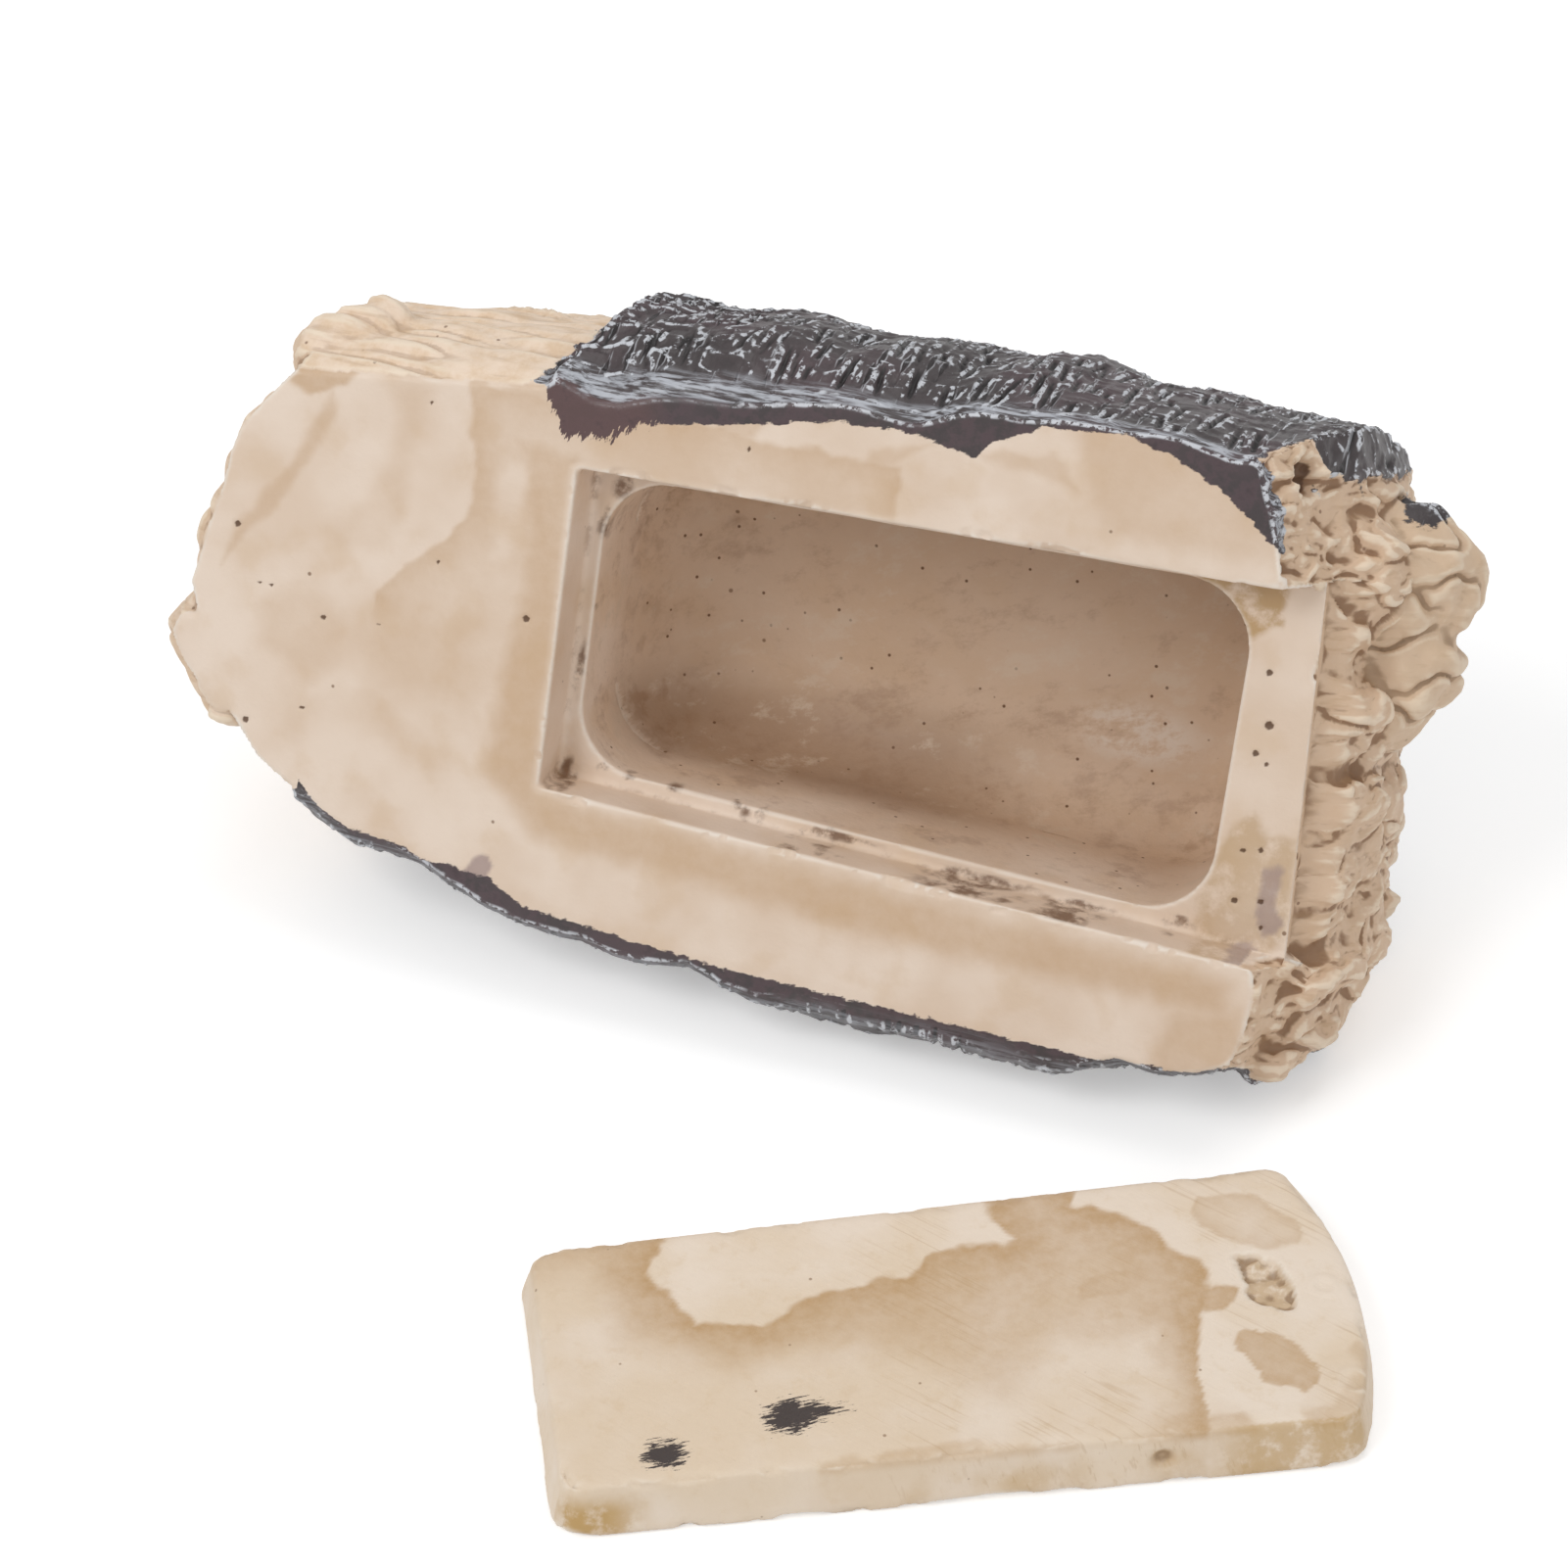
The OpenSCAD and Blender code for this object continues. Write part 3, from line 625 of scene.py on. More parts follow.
for number, name in list(enumerate(PIECES))[1:]:
    faces = np.empty(len(branch.data.polygons), np.int32)
    branch.data.attributes["piece"].data.foreach_get("value", faces)
    bpy.ops.object.select_all(action="DESELECT")
    branch.select_set(True)
    bpy.context.view_layer.objects.active = branch
    bpy.ops.object.mode_set(mode="EDIT")
    bpy.ops.mesh.select_mode(type="FACE")
    bpy.ops.mesh.select_all(action="DESELECT")
    bpy.ops.object.mode_set(mode="OBJECT")
    branch.data.polygons.foreach_set("select", faces == number)
    bpy.ops.object.mode_set(mode="EDIT")
    bpy.ops.mesh.separate(type="SELECTED")
    bpy.ops.object.mode_set(mode="OBJECT")
    cut_off = next(o for o in bpy.context.selected_objects if o is not branch)
    cut_off.name = cut_off.data.name = name
    branch_pieces.append(cut_off)

# %% Keep the normals and ride on the branch
for piece in branch_pieces:
    kept = np.empty((3, len(piece.data.vertices)), np.float32)
    for k in range(3):
        piece.data.attributes[f"normal_{k}"].data.foreach_get("value", kept[k])
    for k in range(3):
        piece.data.attributes.remove(piece.data.attributes[f"normal_{k}"])
    piece.data.attributes.remove(piece.data.attributes["piece"])
    piece.data.normals_split_custom_set_from_vertices(kept.T.tolist())
    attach(piece, "branch")
    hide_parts("branch")
    print(piece.name, "has", sum(len(p.vertices) - 2 for p in piece.data.polygons), "triangles")

# %% [markdown]
# The lid is a thick plate with one square end and one round end. It lies turned on the surface, so its own
# directions are worked out first: x along it from the square end, y across it, z up from the floor.

# %% Lid skin and its own directions
LID_YAW = math.radians(27.0)
LID_SQUARE = 0.38
lid = skin_over("lid", "lid_plate", LID_SQUARE)
lid_turn = np.array([[math.cos(LID_YAW), -math.sin(LID_YAW), 0], [math.sin(LID_YAW), math.cos(LID_YAW), 0], [0, 0, 1]])
cad_lid = np.array([vert.co for vert in frame["nodes"]["lid"].data.vertices]) @ lid_turn
lid_low, lid_high = cad_lid.min(0), cad_lid.max(0)
lid_zero = np.array([lid_low[0], (lid_low[1] + lid_high[1]) / 2, lid_low[2]])
plate = (points_of(lid) @ lid_turn - lid_zero) * 1000
lid_out = normals_of(lid) @ lid_turn
lx, ly, lz = plate.T
LID_TOP = lz.max()
print("lid in its own directions:", plate.min(0).round(1), plate.max(0).round(1))

# %% [markdown]
# Its edges are sanded and chipped. Near the round end a lump has broken out of the face, which leaves a
# crusty pit, two air bubbles have left low rings, and a blow hole sits in the near side.

# %% Wear, pit, rings and blow hole
PIT, SIDE_HOLE = (80.6, 1.8), (65.0, 3.4)
BUBBLE_RINGS = [(86.7, 0.1, 1.3), (86.6, -13.9, 1.6)]
edge = np.clip(stand_out(lid, 6) / 0.25, 0, 1)
on_edge = np.flatnonzero(edge > 0.02)
chipped = np.zeros(len(lx))
chipped[on_edge] = soft_step(0.05, 0.5, cloud(plate[on_edge], (5, 5, 3), 3, 2.0))
low_chips = np.zeros(len(lx))
low_chips[on_edge] = soft_step(0.02, 0.4, cloud(plate[on_edge], (8, 8, 8), 2, 12.0)) * soft_step(1.6, 0.4, lz[on_edge])
near_pit = np.flatnonzero((np.abs(lx - PIT[0]) < 7) & (np.abs(ly - PIT[1]) < 9) & (lz > 3))
pit_way = plate[near_pit] + 1.0 * np.stack([cloud(plate[near_pit], 2.6, 3, s) for s in (1.0, 11.0, 31.0)], 1)
pit_gap = np.hypot((pit_way[:, 0] - PIT[0] + 0.25 * (pit_way[:, 1] - PIT[1])) / 2.2, (pit_way[:, 1] - PIT[1]) / 4.4)
pit, rings = np.zeros(len(lx)), np.zeros(len(lx))
pit[near_pit] = soft_step(1.08, 0.86, pit_gap)
pit_fall = np.zeros(len(lx))
pit_fall[near_pit] = pit[near_pit] * (0.7 + 0.5 * cloud(plate[near_pit], 2.2, 2, 8.0))
for rx, ry, radius in BUBBLE_RINGS:
    gap = np.hypot(lx - rx, ly - ry)
    rings = np.maximum(rings, np.exp(-((gap - radius) / 0.35) ** 2) * (lz > LID_TOP - 1))
side_hole = np.exp(-(((lx - SIDE_HOLE[0]) / 1.25) ** 2 + ((lz - SIDE_HOLE[1]) / 1.0) ** 2) ** 2) * (ly < -14)
worn_corner = soft_step(5.5, 0.5, np.hypot(lx, ly + 18.2)) * 0.9
lid_fall = edge * (0.16 + 0.5 * chipped) + 0.9 * edge * low_chips + 1.2 * pit_fall + 0.8 * side_hole - 0.18 * rings
lid_fall += worn_corner * edge
worn_plate = plate - lid_out * lid_fall[:, None]
worn_plate[:, 2] = np.maximum(worn_plate[:, 2], 0.0)
move_to(lid, (worn_plate / 1000 + lid_zero) @ lid_turn.T)
print("pit of", int((pit > 0.5).sum()), "points, deepest", round(float(pit_fall.max()), 2), "mm")

# %% Stains on the lid
def oval(cx, cy, half_long, half_wide, degrees):
    turned = math.radians(degrees)
    return [(cx + half_long * math.cos(t) * math.cos(turned) - half_wide * math.sin(t) * math.sin(turned),
             cy + half_long * math.cos(t) * math.sin(turned) + half_wide * math.sin(t) * math.cos(turned))
            for t in np.linspace(0, 2 * math.pi, 16, endpoint=False)]


LID_STAINS = [
    ([(-40, 40), (15.5, 40), (16, 17), (14, 12.5), (16.5, 7.5), (18, 3.5), (25, 3), (28, 5.5), (41.5, 7.5), (45, 11), (54, 11.5), (53, 15),
      (53, 40), (62, 40), (62, 15.5), (68, 13.5), (74.5, 3.5), (71.5, -5.5), (70, -16), (66, -60), (-40, -60)], 0.85, 0.40, 4.5, 0.45),
    (oval(79.1, -9.7, 5.8, 3.2, -50), 0.70, 0.35, 2.0, 0.70), (oval(74.3, 0.0, 2.6, 2.0, 10), 0.72, 0.30, 2.0, 0.85),
    (oval(80.6, 11.0, 6.6, 3.6, -30), 0.50, 0.35, 1.0, 0.35), (oval(64.0, 3.5, 5.0, 2.0, 25), 0.62, 0.80, 3.0, 0.80),
    ([(84, -10.5), (88.5, -8), (94, -14), (84, -24), (80, -17)], 0.42, 0.6, 4.0, 0.7),
    ([(67, -15.4), (74, -15.2), (77, -24), (66, -24)], 0.50, 0.8, 3.0, 0.7)]
# where the water has washed the tan out again
WASHED = [(-2, 12), (7, 14), (10, 3), (21, -3), (33, -1), (42, -5), (49, -11), (57, -4), (67, -4), (68, -13), (60, -24), (-2, -24)]
NEAR_EDGE = [([(24, -22), (29, -17.4), (44, -16.4), (55, -18), (58, -22)], 0.45, 0.8, 3.0, 0.8)]
CHALKY = [(75.5, -3), (70.5, -10), (69.5, -16.5), (83.5, -17), (88, -11.5), (84, -3)]
DABS = [[(23, -10.5), (24, -8.5), (26.5, -7.5), (33.5, -10), (27.5, -13), (24, -13)],
        oval(12.8, -14, 2.9, 2.4, 0)]
lid_wobble = np.stack([cloud(plate, 4.5, 3, s) for s in (4.0, 14.0)], 1)
lid_places = plate[:, :2] + 1.0 * lid_wobble
lid_tan = lay_stains(lid_places, LID_STAINS)
lid_tan *= 1 - 0.8 * soft_step(-3.5, 3.5, inside_mm(lid_places, WASHED))
lid_tan = np.maximum(lid_tan, lay_stains(lid_places, NEAR_EDGE))
lid_tan *= 1 - 0.8 * soft_step(-0.6, 0.6, inside_mm(lid_places, CHALKY)) * (lid_tan < 0.5)
lid_tan *= 0.25 + 0.75 * soft_step(LID_TOP - 1.6, LID_TOP - 0.4, lz)
near_side = soft_step(0.2, 0.6, -lid_out[:, 1])
runs = np.maximum(1.3 * soft_step(12, 5, lx) * soft_step(6.0, 3.0, lz), 0.9 * soft_step(68, 76, lx)) * near_side
runs = np.maximum(runs, 0.55 * near_side * soft_step(0.0, 0.5, cloud(plate * [1, 0, 0.4], (9, 9, 9), 2, 6.0)) * soft_step(5.5, 2.0, lz))
dab_mm = np.maximum.reduce([inside_mm(plate[:, :2] + 0.25 * lid_wobble, dab) for dab in DABS])
dab_mm = np.where(lz > LID_TOP - 0.6, dab_mm, -9)
for name, values in (("ridge", stand_out(lid, 4)), ("hollow", -stand_out(lid, 14)), ("pit", np.maximum(pit, side_hole)), ("tan", lid_tan),
                     ("runs", runs), ("dab_mm", dab_mm), ("plate_x", lx), ("plate_y", ly), ("plate_z", lz)):
    store(lid, name, values)
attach(lid, "lid")
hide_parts("lid")
print("lid has", sum(len(p.vertices) - 2 for p in lid.data.polygons), "triangles")

# %% [markdown]
# Colours are written as sRGB hex, as a paint shop would read them off, and one function turns them to the
# linear values that Blender's shaders take. One more function adds a node with its settings and its
# links, so that a material reads as a list of steps.

# %% Colours and nodes
def colour(hex_code):
    parts = [int(hex_code[i:i + 2], 16) / 255 for i in (1, 3, 5)]
    return tuple(c / 12.92 if c <= 0.04045 else ((c + 0.055) / 1.055) ** 2.4 for c in parts) + (1.0,)


def add(tree, kind, settings=None, inputs=None):
    node = tree.nodes.new(kind)
    for name, value in (settings or {}).items():
        setattr(node, name, value)
    for name, value in (inputs or {}).items():
        if isinstance(value, bpy.types.NodeSocket):
            tree.links.new(value, node.inputs[name])
        else:
            node.inputs[name].default_value = value
    return node


def empty_material(name):
    material = bpy.data.materials.new(name)
    material.use_nodes = True
    material.node_tree.nodes.clear()
    return material, material.node_tree


# %% Short words for the steps of a material
def stored(name):
    return add(tree, "ShaderNodeAttribute", {"attribute_name": name}).outputs["Fac"]


def maths(operation, a, b=0.0, c=0.0):
    return add(tree, "ShaderNodeMath", {"operation": operation}, {0: a, 1: b, 2: c}).outputs[0]


def ramp(value, low, high, top=1.0):
    return add(tree, "ShaderNodeMapRange", {"interpolation_type": "SMOOTHSTEP"}, {
        "Value": value, "From Min": low, "From Max": high, "To Max": top}).outputs[0]


def blend(share, under, over_hex):
    over = colour(over_hex) if isinstance(over_hex, str) else over_hex
    return add(tree, "ShaderNodeMix", {"data_type": "RGBA"}, {0: share, 6: under, 7: over}).outputs[2]


def clouds(at, size_mm, detail, rough=0.5):
    return add(tree, "ShaderNodeTexNoise", {}, {
        "Vector": at, "Scale": 1 / size_mm, "Detail": detail, "Roughness": rough}).outputs["Fac"]


def stretched(at, sizes_mm, turn=0.0):
    return add(tree, "ShaderNodeMapping", {"vector_type": "TEXTURE"}, {
        "Vector": at, "Rotation": (0, 0, turn), "Scale": tuple(sizes_mm)}).outputs[0]


def specks(at, spacing_mm, radius_mm, share):
    cells = add(tree, "ShaderNodeTexVoronoi", {}, {"Vector": at, "Scale": 1 / spacing_mm})
    dot = ramp(cells.outputs["Distance"], radius_mm * 1.3 / spacing_mm, radius_mm * 0.7 / spacing_mm)
    lucky = add(tree, "ShaderNodeSeparateXYZ", {}, {0: cells.outputs["Color"]}).outputs[0]
    return maths("MULTIPLY", dot, maths("LESS_THAN", lucky, share))


# %% [markdown]
# The branch is one casting, so it has one material: filled polyester resin, cream and matt, with watery
# tan stains, brown dirt in its corners and pin holes from air bubbles. Painted shade darkens the pocket with its depth,
# along its lower wall and in its corners, and a painted highlight runs along the lips. Over it lies the paint of the
# bark. The pattern reads Object coordinates, turned into the flat's directions and scaled to
# millimetres, so every size below is a real one.

# %% Branch material: places in millimetres
# filled cast resin: cream, matt and a little uneven, as if it had lain outdoors
branch_paint, tree = empty_material("painted_cast_resin")
place = add(tree, "ShaderNodeTexCoord").outputs["Object"]
mm = add(tree, "ShaderNodeMapping", {}, {
    "Vector": place, "Rotation": (-(math.pi / 2 - lean), 0, 0), "Scale": (1000, 1000, 1000)}).outputs[0]
along, up, outward = add(tree, "ShaderNodeSeparateXYZ", {}, {0: mm}).outputs
slow, blotch, border, fine = clouds(mm, 15, 3), clouds(mm, 3.0, 5, 0.65), clouds(mm, 1.5, 4, 0.6), clouds(mm, 0.9, 4)
ridge, hollow = stored("ridge"), stored("hollow")
resin = blend(ramp(slow, 0.35, 0.65), colour("#E9D7C6"), "#DFC9B4")
resin = blend(ramp(clouds(mm, 7.0, 4), 0.5, 0.68, 0.35), resin, "#D6BA9A")
print("material", branch_paint.name, "reads places in mm")

# %% Branch material: stains, dirt, pin holes, painted shade and painted highlight
mottle = ramp(border, 0.25, 0.75)
tan_share = maths("MULTIPLY", stored("tan"), maths("MULTIPLY_ADD", mottle, 0.2, 0.88))
resin = blend(tan_share, resin, "#BE986C")
# painted shade: the pocket's resin is drawn darker the deeper it lies, standing in for the shade inside it
deep = ramp(outward, -10.0, -29.0, 0.66)
sunk_only = maths("SUBTRACT", 1.0, stored("fibres"))
resin = blend(maths("MULTIPLY", deep, sunk_only), resin, "#C0A183")
wisps = clouds(stretched(mm, (8.0, 5.0, 6.0), 0.4), 1.0, 8, 0.72)
in_pocket = maths("MULTIPLY", ramp(outward, -7.6, -9.0), sunk_only)
resin = blend(maths("MULTIPLY", in_pocket, ramp(wisps, 0.50, 0.68, 0.4)), resin, "#95735A")
# painted shade: a darker band along the pocket's lower wall and the floor beside it, on the left, for the shadow that
# lies there
low_wall_shade = maths("MULTIPLY", ramp(up, -7.0, -15.0, 0.6), maths("MULTIPLY", ramp(along, 80.0, 58.0), ramp(outward, -14.0, -24.0)))
resin = blend(maths("MULTIPLY", low_wall_shade, sunk_only), resin, "#8A6A50")
# a paler patch on the pocket floor near its lower right end
pale_patch_at = add(tree, "ShaderNodeVectorMath", {"operation": "DISTANCE"}, {0: stretched(mm, (1.0, 0.45, 1.0)), 1: (85.0, -15.5, -33.0)}).outputs["Value"]
pale_patch = maths("MULTIPLY", ramp(pale_patch_at, 11.0, 4.0), ramp(wisps, 0.55, 0.44, 0.75))
resin = blend(maths("MULTIPLY", pale_patch, in_pocket), resin, "#DCCFC2")
resin = blend(maths("MULTIPLY", in_pocket, specks(mm, 1.9, 0.2, 0.45)), resin, "#6E4E36")
resin = blend(maths("MULTIPLY", in_pocket, ramp(wisps, 0.46, 0.34, 0.55)), resin, "#D2C0AC")
resin = blend(maths("MULTIPLY", stored("ochre"), ramp(blotch, 0.28, 0.55, 0.85)), resin, "#AF8A52")
resin = blend(maths("MULTIPLY", stored("lilac"), 0.8), resin, "#9E8885")
resin = blend(maths("MULTIPLY", stored("dirt"), ramp(blotch, 0.36, 0.58, 0.85)), resin, "#6F4E36")
# brown dirt in the corners of the recess together with painted shade there: it follows the hollows of the skin
corner_dirt_and_shade = maths("MULTIPLY", ramp(hollow, 0.12, 0.8), ramp(blotch, 0.48, 0.66, 0.7))
resin = blend(maths("MULTIPLY", corner_dirt_and_shade, sunk_only), resin, "#8A6443")
resin = blend(maths("MULTIPLY", specks(mm, 5.2, 0.26, 0.34), 0.8), resin, "#7A5A3E")
# painted highlight: a thin pale line along the convex edges of the flat, the rebate's lips and the ledge
lip_painted_highlight = maths("MULTIPLY", ramp(ridge, 0.05, 0.22, 0.75), maths("MULTIPLY", sunk_only, ramp(outward, -9.0, -8.0)))
resin = blend(lip_painted_highlight, resin, "#F1E7DB")

# %% Branch material: bare wood and torn fibres
fibre_tone = blend(ramp(blotch, 0.35, 0.7), colour("#EDD8C3"), "#DFC4A6")
fibre_tone = blend(maths("MULTIPLY", stored("torn"), 0.75), fibre_tone, "#CFB092")
washed = maths("MULTIPLY_ADD", stored("torn"), 0.6, 0.35)
fibre_tone = blend(maths("MULTIPLY", ramp(ridge, -0.03, -0.15, 0.85), washed), fibre_tone, "#7E5836")
fibre_tone = blend(maths("MULTIPLY", ramp(hollow, 0.5, 2.2, 0.5), washed), fibre_tone, "#86603F")
fibre_tone = blend(maths("MULTIPLY", specks(mm, 2.4, 0.22, 0.3), 0.7), fibre_tone, "#6E4A30")
fibre_tone = blend(ramp(ridge, 0.04, 0.16, 0.65), fibre_tone, "#EFDFC9")
grain_at = stretched(mm, (14, 0.9, 3.0))
fibre_tone = blend(ramp(clouds(grain_at, 1.0, 3), 0.55, 0.68, 0.25), fibre_tone, "#B08E68")
fibre_tone = blend(maths("MULTIPLY", stored("calm"), 0.3), fibre_tone, "#D6BFA2")
resin = blend(stored("fibres"), resin, fibre_tone)
resin = blend(ramp(stored("holes"), 0.3, 0.7, 0.9), resin, "#5A3B22")

# %% [markdown]
# Bark paint is a satin acrylic, near black with a plum tinge, brushed over everything on the back, and then
# dry-brushed with pale blue-grey that only catches the ridges. Its stored border is made ragged by a
# fine cloud. Short dark nicks, one to each cell of a stretched Voronoi pattern, lie between the carved cuts.

# %% Branch material: where the paint lies
feather = clouds(stretched(mm, (2.6, 0.7, 2.0), 0.25), 1.0, 4, 0.65)
paint_edge = maths("MULTIPLY_ADD", border, 1.3, stored("painted_mm"))
paint_edge = maths("MULTIPLY_ADD", feather, 1.4, paint_edge)
fringe = clouds(stretched(mm, (0.5, 2.4, 2.0), -0.25), 1.0, 3, 0.7)
at_foot = maths("MULTIPLY", ramp(along, 33.0, 28.0), maths("MULTIPLY", ramp(outward, -0.8, -0.3), ramp(up, 0.0, 10.0)))
paint_edge = maths("MULTIPLY_ADD", maths("SUBTRACT", fringe, 0.5), maths("MULTIPLY", at_foot, 6.0), paint_edge)
painted = ramp(paint_edge, 1.24, 1.46)

# %% Branch material: bark colours
sheet_at = add(tree, "ShaderNodeCombineXYZ", {}, {0: along, 1: stored("around"), 2: 0.0}).outputs[0]
NICK_ACROSS, NICK_ALONG = 2.4, 6.0
nick_at = stretched(sheet_at, (NICK_ACROSS, NICK_ALONG, 1))
nick_cells = add(tree, "ShaderNodeTexVoronoi", {"voronoi_dimensions": "2D"}, {"Vector": nick_at, "Scale": 1.0})
nick_gap = add(tree, "ShaderNodeVectorMath", {"operation": "SUBTRACT"}, {0: nick_at, 1: nick_cells.outputs["Position"]}).outputs[0]
nick_x, nick_y, _ = add(tree, "ShaderNodeSeparateXYZ", {}, {0: nick_gap}).outputs
nick_x, nick_y = maths("ABSOLUTE", nick_x), maths("ABSOLUTE", nick_y)
nick_room = ramp(nick_y, 0.42, 0.05, 0.11)
nick_some = maths("LESS_THAN", add(tree, "ShaderNodeSeparateXYZ", {}, {0: nick_cells.outputs["Color"]}).outputs[0], 0.6)
nick_line = maths("MULTIPLY", ramp(maths("SUBTRACT", nick_x, nick_room), 0.02, -0.04), nick_some)
nick_lip = maths("MULTIPLY", ramp(maths("SUBTRACT", nick_x, nick_room), 0.0, 0.04), ramp(maths("SUBTRACT", nick_x, nick_room), 0.12, 0.06))
off_flat = ramp(outward, -1.6, -3.0)
nick_lip = maths("MULTIPLY", maths("MULTIPLY", nick_lip, nick_some), off_flat)
nick_line = maths("MULTIPLY", nick_line, off_flat)
strokes = clouds(stretched(sheet_at, (0.7, 4.0, 1)), 1.0, 3, 0.6)
on_level = ramp(outward, -0.6, -0.1)
plum = maths("MAXIMUM", ramp(slow, 0.46, 0.70, 0.8), maths("MULTIPLY", on_level, ramp(blotch, 0.4, 0.6)))
bark_tone = blend(plum, colour("#443D3E"), "#56464A")
bark_tone = blend(maths("MULTIPLY", at_foot, 0.7), bark_tone, "#644A49")
bark_tone = blend(ramp(blotch, 0.5, 0.75, 0.6), bark_tone, "#332D2E")
bark_tone = blend(maths("MULTIPLY", nick_line, 0.85), bark_tone, "#1F1A1B")
bark_tone = blend(ramp(stored("cut"), 0.18, 0.6), bark_tone, "#1F1A1B")
bark_tone = blend(ramp(ridge, -0.05, -0.25, 0.7), bark_tone, "#231E1F")
crumbs = clouds(mm, 1.1, 4, 0.65)
caught = maths("MULTIPLY", ramp(ridge, 0.05, 0.11), ramp(crumbs, 0.45, 0.53))
caught = maths("MAXIMUM", caught, maths("MULTIPLY", maths("MULTIPLY", nick_lip, ramp(strokes, 0.46, 0.6)), 0.55))
bark_tone = blend(maths("MULTIPLY", caught, 0.9), bark_tone, "#D2D5DB")
rim_streaks = clouds(stretched(mm, (7.0, 0.5, 0.45)), 1.0, 4, 0.65)
at_rim = maths("MULTIPLY", ramp(outward, -3.4, -1.4), ramp(outward, -0.15, -0.45))
rim_brush = maths("MULTIPLY", at_rim, ramp(rim_streaks, 0.40, 0.60, 0.8))
rim_brush = maths("MULTIPLY", rim_brush, maths("ADD", ramp(up, -20.0, 0.0, 0.65), 0.35))
bark_tone = blend(rim_brush, bark_tone, "#C2C6CE")
surface = blend(painted, resin, bark_tone)

# %% Branch material: finish
gloss = maths("MULTIPLY_ADD", painted, -0.16, 0.58)
rough_paint = maths("MULTIPLY", painted, off_flat)
relief = maths("MULTIPLY_ADD", maths("MULTIPLY", strokes, rough_paint), 0.8, maths("MULTIPLY", fine, 0.5))
relief = maths("SUBTRACT", relief, maths("MULTIPLY", maths("MULTIPLY", nick_line, rough_paint), 1.4))
relief = maths("MULTIPLY_ADD", painted, 0.5, relief)
bump = add(tree, "ShaderNodeBump", {}, {"Height": relief, "Strength": 0.5, "Distance": 0.0003}).outputs[0]
shader = add(tree, "ShaderNodeBsdfPrincipled", {}, {"Base Color": surface, "Roughness": gloss, "IOR": 1.5, "Normal": bump})
add(tree, "ShaderNodeOutputMaterial", {}, {"Surface": shader.outputs[0]})
for piece in branch_pieces:
    piece.data.materials.append(branch_paint)
print("material", branch_paint.name, "has", len(tree.nodes), "nodes")

# %% [markdown]
# The lid is the same resin without bark paint. Its stains are larger, with sharp watery borders, its near
# side has ochre runs, and two dabs of bark paint have dried on its face. Fine diagonal scratches
# are left from sanding.

# %% Lid material
# bare cast resin: cream, matt, stained by water
lid_paint, tree = empty_material("stained_cast_resin")
mm = add(tree, "ShaderNodeCombineXYZ", {}, {0: stored("plate_x"), 1: stored("plate_y"), 2: stored("plate_z")}).outputs[0]
slow, blotch, border, fine = clouds(mm, 13, 3), clouds(mm, 2.4, 5, 0.65), clouds(mm, 1.5, 4, 0.6), clouds(mm, 0.9, 4)
ridge, hollow, pit_share = stored("ridge"), stored("hollow"), stored("pit")
resin = blend(ramp(slow, 0.35, 0.65), colour("#EADBCA"), "#E3D0B8")
resin = blend(ramp(blotch, 0.52, 0.72, 0.3), resin, "#D6BD9A")
tan_share = maths("MULTIPLY", stored("tan"), maths("MULTIPLY_ADD", ramp(border, 0.25, 0.75), 0.3, 0.86))
resin = blend(tan_share, resin, "#BA9566")
scratches = clouds(stretched(mm, (12.0, 0.4, 2.0), -0.75), 1.0, 3, 0.6)
sanded = maths("MULTIPLY", ramp(slow, 0.42, 0.56), ramp(stored("plate_x"), 30.0, 44.0))
resin = blend(maths("MULTIPLY", sanded, ramp(scratches, 0.55, 0.66, 0.3)), resin, "#B9986E")
resin = blend(maths("MULTIPLY", stored("runs"), ramp(blotch, 0.26, 0.54, 0.7)), resin, "#BC9656")
resin = blend(maths("MULTIPLY", specks(mm, 4.4, 0.2, 0.4), 0.7), resin, "#8A6A4C")
resin = blend(maths("MULTIPLY", pit_share, ramp(blotch, 0.30, 0.55, 0.8)), resin, "#C4A883")
# paler on the lid's edges and ridges: rubbed wear together with a painted highlight
resin = blend(ramp(ridge, 0.06, 0.2, 0.55), resin, "#F0E4D4")
resin = blend(maths("MULTIPLY", pit_share, ramp(ridge, -0.04, -0.2, 0.6)), resin, "#7E5C3C")
streak = clouds(stretched(mm, (1.5, 0.28, 1.0), 0.12), 1.0, 4, 0.7)
dab_edge = maths("MULTIPLY_ADD", streak, 7.0, stored("dab_mm"))
resin = blend(ramp(dab_edge, 3.9, 4.3, 0.96), resin, "#2C2225")
relief = maths("MULTIPLY_ADD", scratches, 0.5, fine)
bump = add(tree, "ShaderNodeBump", {}, {"Height": relief, "Strength": 0.4, "Distance": 0.0002}).outputs[0]
shader = add(tree, "ShaderNodeBsdfPrincipled", {}, {"Base Color": resin, "Roughness": 0.55, "IOR": 1.5, "Normal": bump})
add(tree, "ShaderNodeOutputMaterial", {}, {"Surface": shader.outputs[0]})
lid.data.materials.append(lid_paint)
print("material", lid_paint.name, "has", len(tree.nodes), "nodes")

# %% [markdown]
# The picture is a studio shot on white: a pale floor, soft light from above and from both sides, and a long
# lens that looks down at about forty degrees. The camera's distance and turn were worked out from the
# rebate's four corners in the photograph.

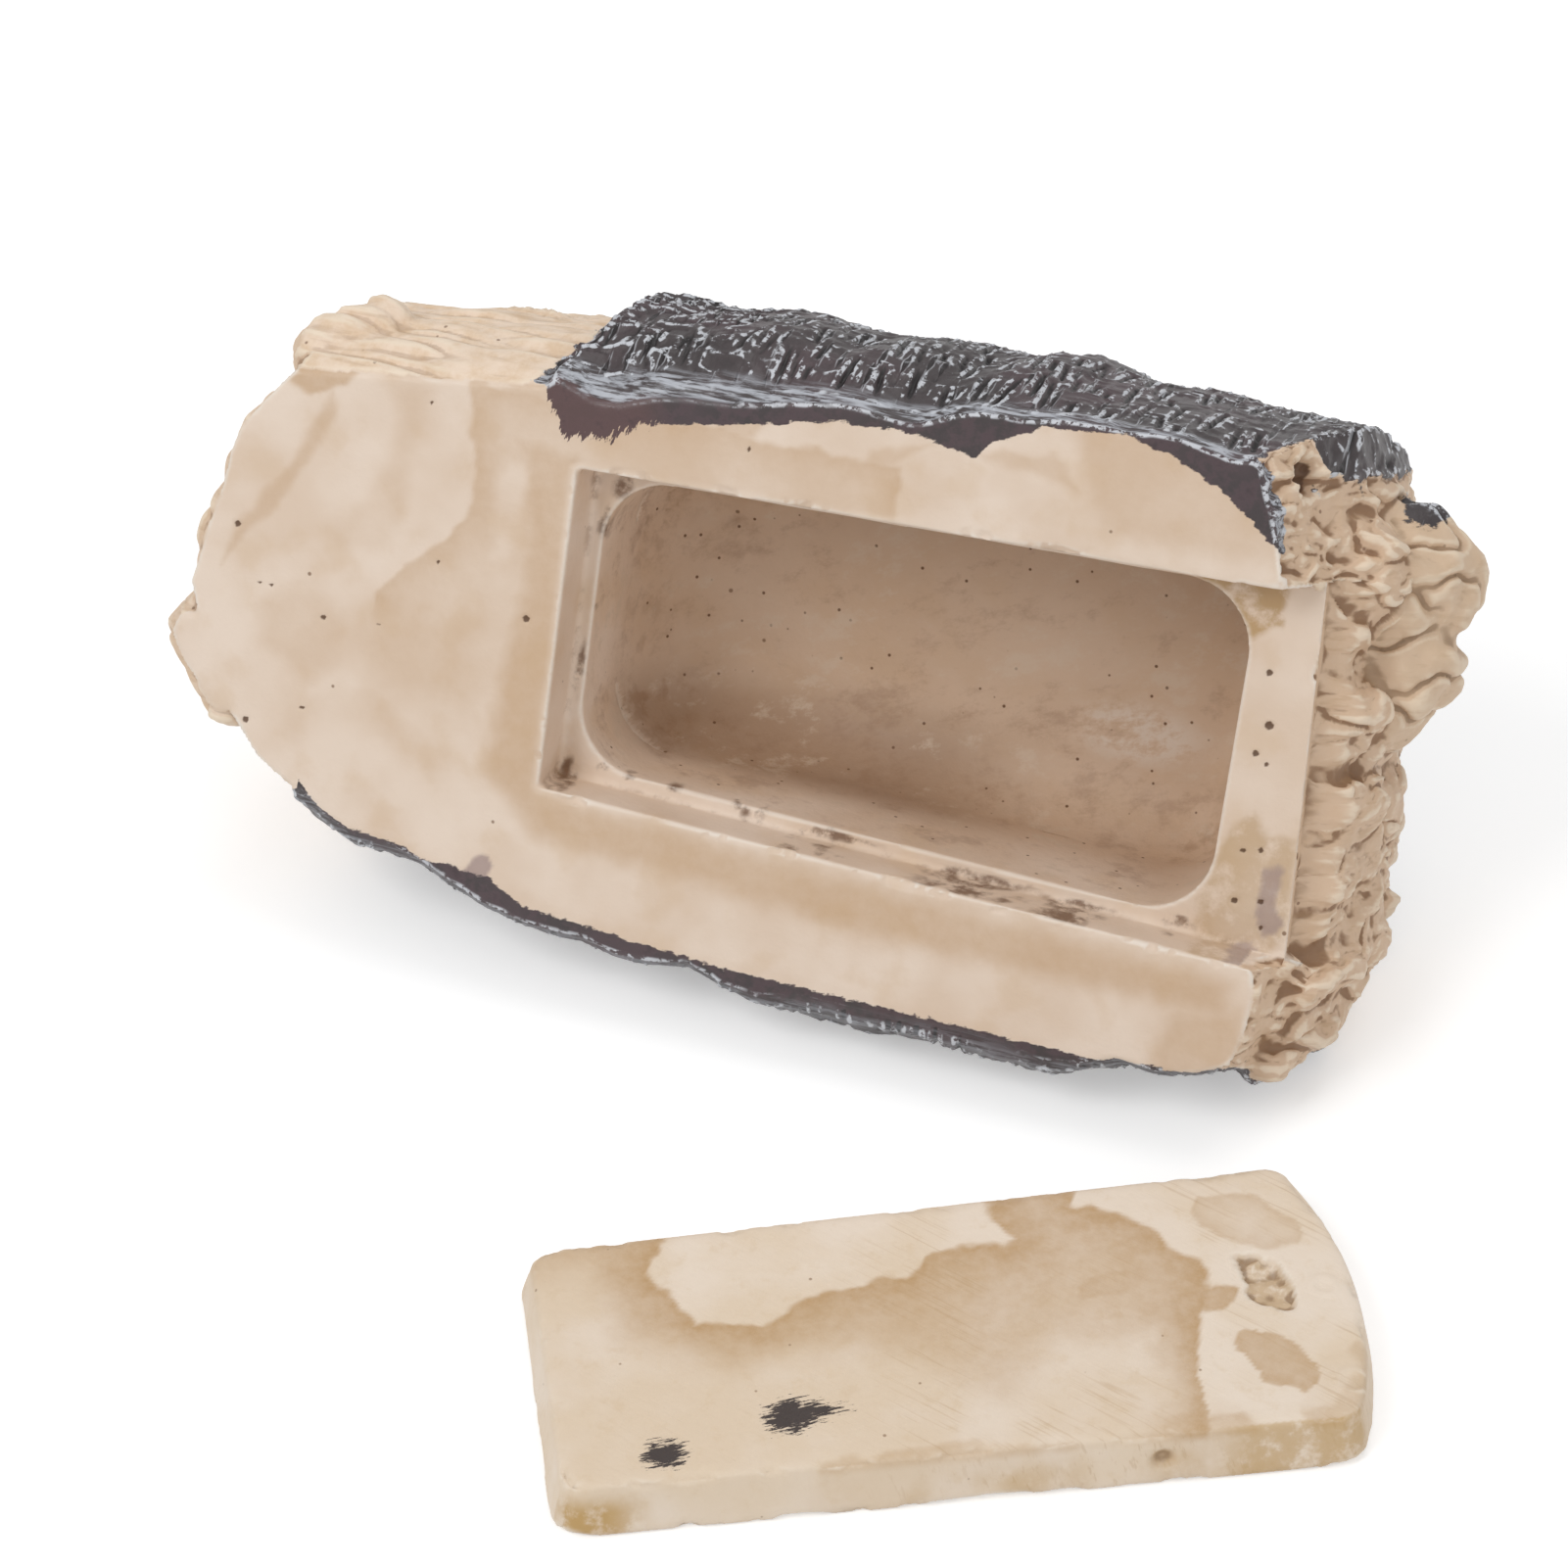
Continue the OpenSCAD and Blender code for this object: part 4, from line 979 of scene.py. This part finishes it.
# %% Floor
bpy.ops.object.select_all(action="DESELECT")
bpy.ops.mesh.primitive_plane_add(size=6, location=(0, 0, FLOOR_M))
floor = bpy.context.object
floor.name = "floor"
floor_paint, tree = empty_material("white_studio_floor")
rays = add(tree, "ShaderNodeLightPath").outputs
seen = maths("MAXIMUM", maths("MAXIMUM", rays["Is Camera Ray"], rays["Is Glossy Ray"]), rays["Is Transmission Ray"])
paint = add(tree, "ShaderNodeBsdfDiffuse", {}, {"Color": (0.86, 0.86, 0.86, 1)}).outputs[0]
FLOOR_LIFT = 0.35
lift = add(tree, "ShaderNodeEmission", {}, {"Strength": maths("MULTIPLY", seen, FLOOR_LIFT)}).outputs[0]
both = add(tree, "ShaderNodeAddShader", {}, {0: paint, 1: lift}).outputs[0]
add(tree, "ShaderNodeOutputMaterial", {}, {"Surface": both})
floor.data.materials.append(floor_paint)
print("floor at", round(FLOOR_M * 1000, 1), "mm")

# %% World and lamps
world = bpy.data.worlds.new("white_studio")
bpy.context.scene.world = world
world.use_nodes = True
tree = world.node_tree
tree.nodes.clear()
rays = add(tree, "ShaderNodeLightPath").outputs
seen = maths("MAXIMUM", rays["Is Camera Ray"], rays["Is Transmission Ray"])
WORLD_LEVEL = 0.5
level = add(tree, "ShaderNodeMapRange", {}, {"Value": seen, "To Min": WORLD_LEVEL, "To Max": 1.0}).outputs[0]
sky = add(tree, "ShaderNodeBackground", {}, {"Color": (1, 1, 1, 1), "Strength": level}).outputs[0]
add(tree, "ShaderNodeOutputWorld", {}, {"Surface": sky})


def lamp(name, place_m, aim_m, size_m, watts):
    data = bpy.data.lights.new(name, "AREA")
    data.shape = "SQUARE"
    data.size = size_m
    data.energy = watts
    holder = bpy.data.objects.new(name, data)
    bpy.context.scene.collection.objects.link(holder)
    holder.location = place_m
    holder.rotation_euler = (Vector(aim_m) - Vector(place_m)).to_track_quat("-Z", "Y").to_euler()
    return holder


lamp("key_lamp", (-0.35, -0.55, 0.75), (0.04, 0, 0), 0.45, 3.4)
lamp("fill_lamp", (0.75, -0.35, 0.45), (0.05, 0, 0), 0.6, 1.2)
lamp("top_lamp", (0.1, 0.35, 0.9), (0.05, 0, 0), 0.6, 1.7)

# %% Camera
FOCAL_PX, FRAME_PX = 4450.0, 1601.0
azimuth, elevation = math.radians(19.0), math.radians(40.0)
mouth_middle = Vector(((REBATE_START + REBATE_LENGTH / 2) / 1000, 0, 0))
mouth_pixel, distance = (926.0, 720.0), 0.494
back = Vector((math.sin(azimuth) * math.cos(elevation), -math.cos(azimuth) * math.cos(elevation), math.sin(elevation)))
right = Vector((math.cos(azimuth), math.sin(azimuth), 0))
top = back.cross(right)
shift_right = (mouth_pixel[0] - FRAME_PX / 2) / FOCAL_PX * distance
shift_up = -(mouth_pixel[1] - FRAME_PX / 2) / FOCAL_PX * distance
camera = bpy.data.objects.new("camera", bpy.data.cameras.new("camera"))
bpy.context.scene.collection.objects.link(camera)
camera.data.sensor_width = 36.0
camera.data.lens = 36.0 * FOCAL_PX / FRAME_PX
camera.data.clip_start, camera.data.clip_end = 0.01, 20.0
camera.location = mouth_middle - right * shift_right - top * shift_up + back * distance
camera.rotation_euler = Matrix((right, top, back)).transposed().to_euler()
bpy.context.scene.camera = camera
bpy.context.scene.view_settings.view_transform = "Standard"
print("camera with a", round(camera.data.lens, 1), "mm lens")
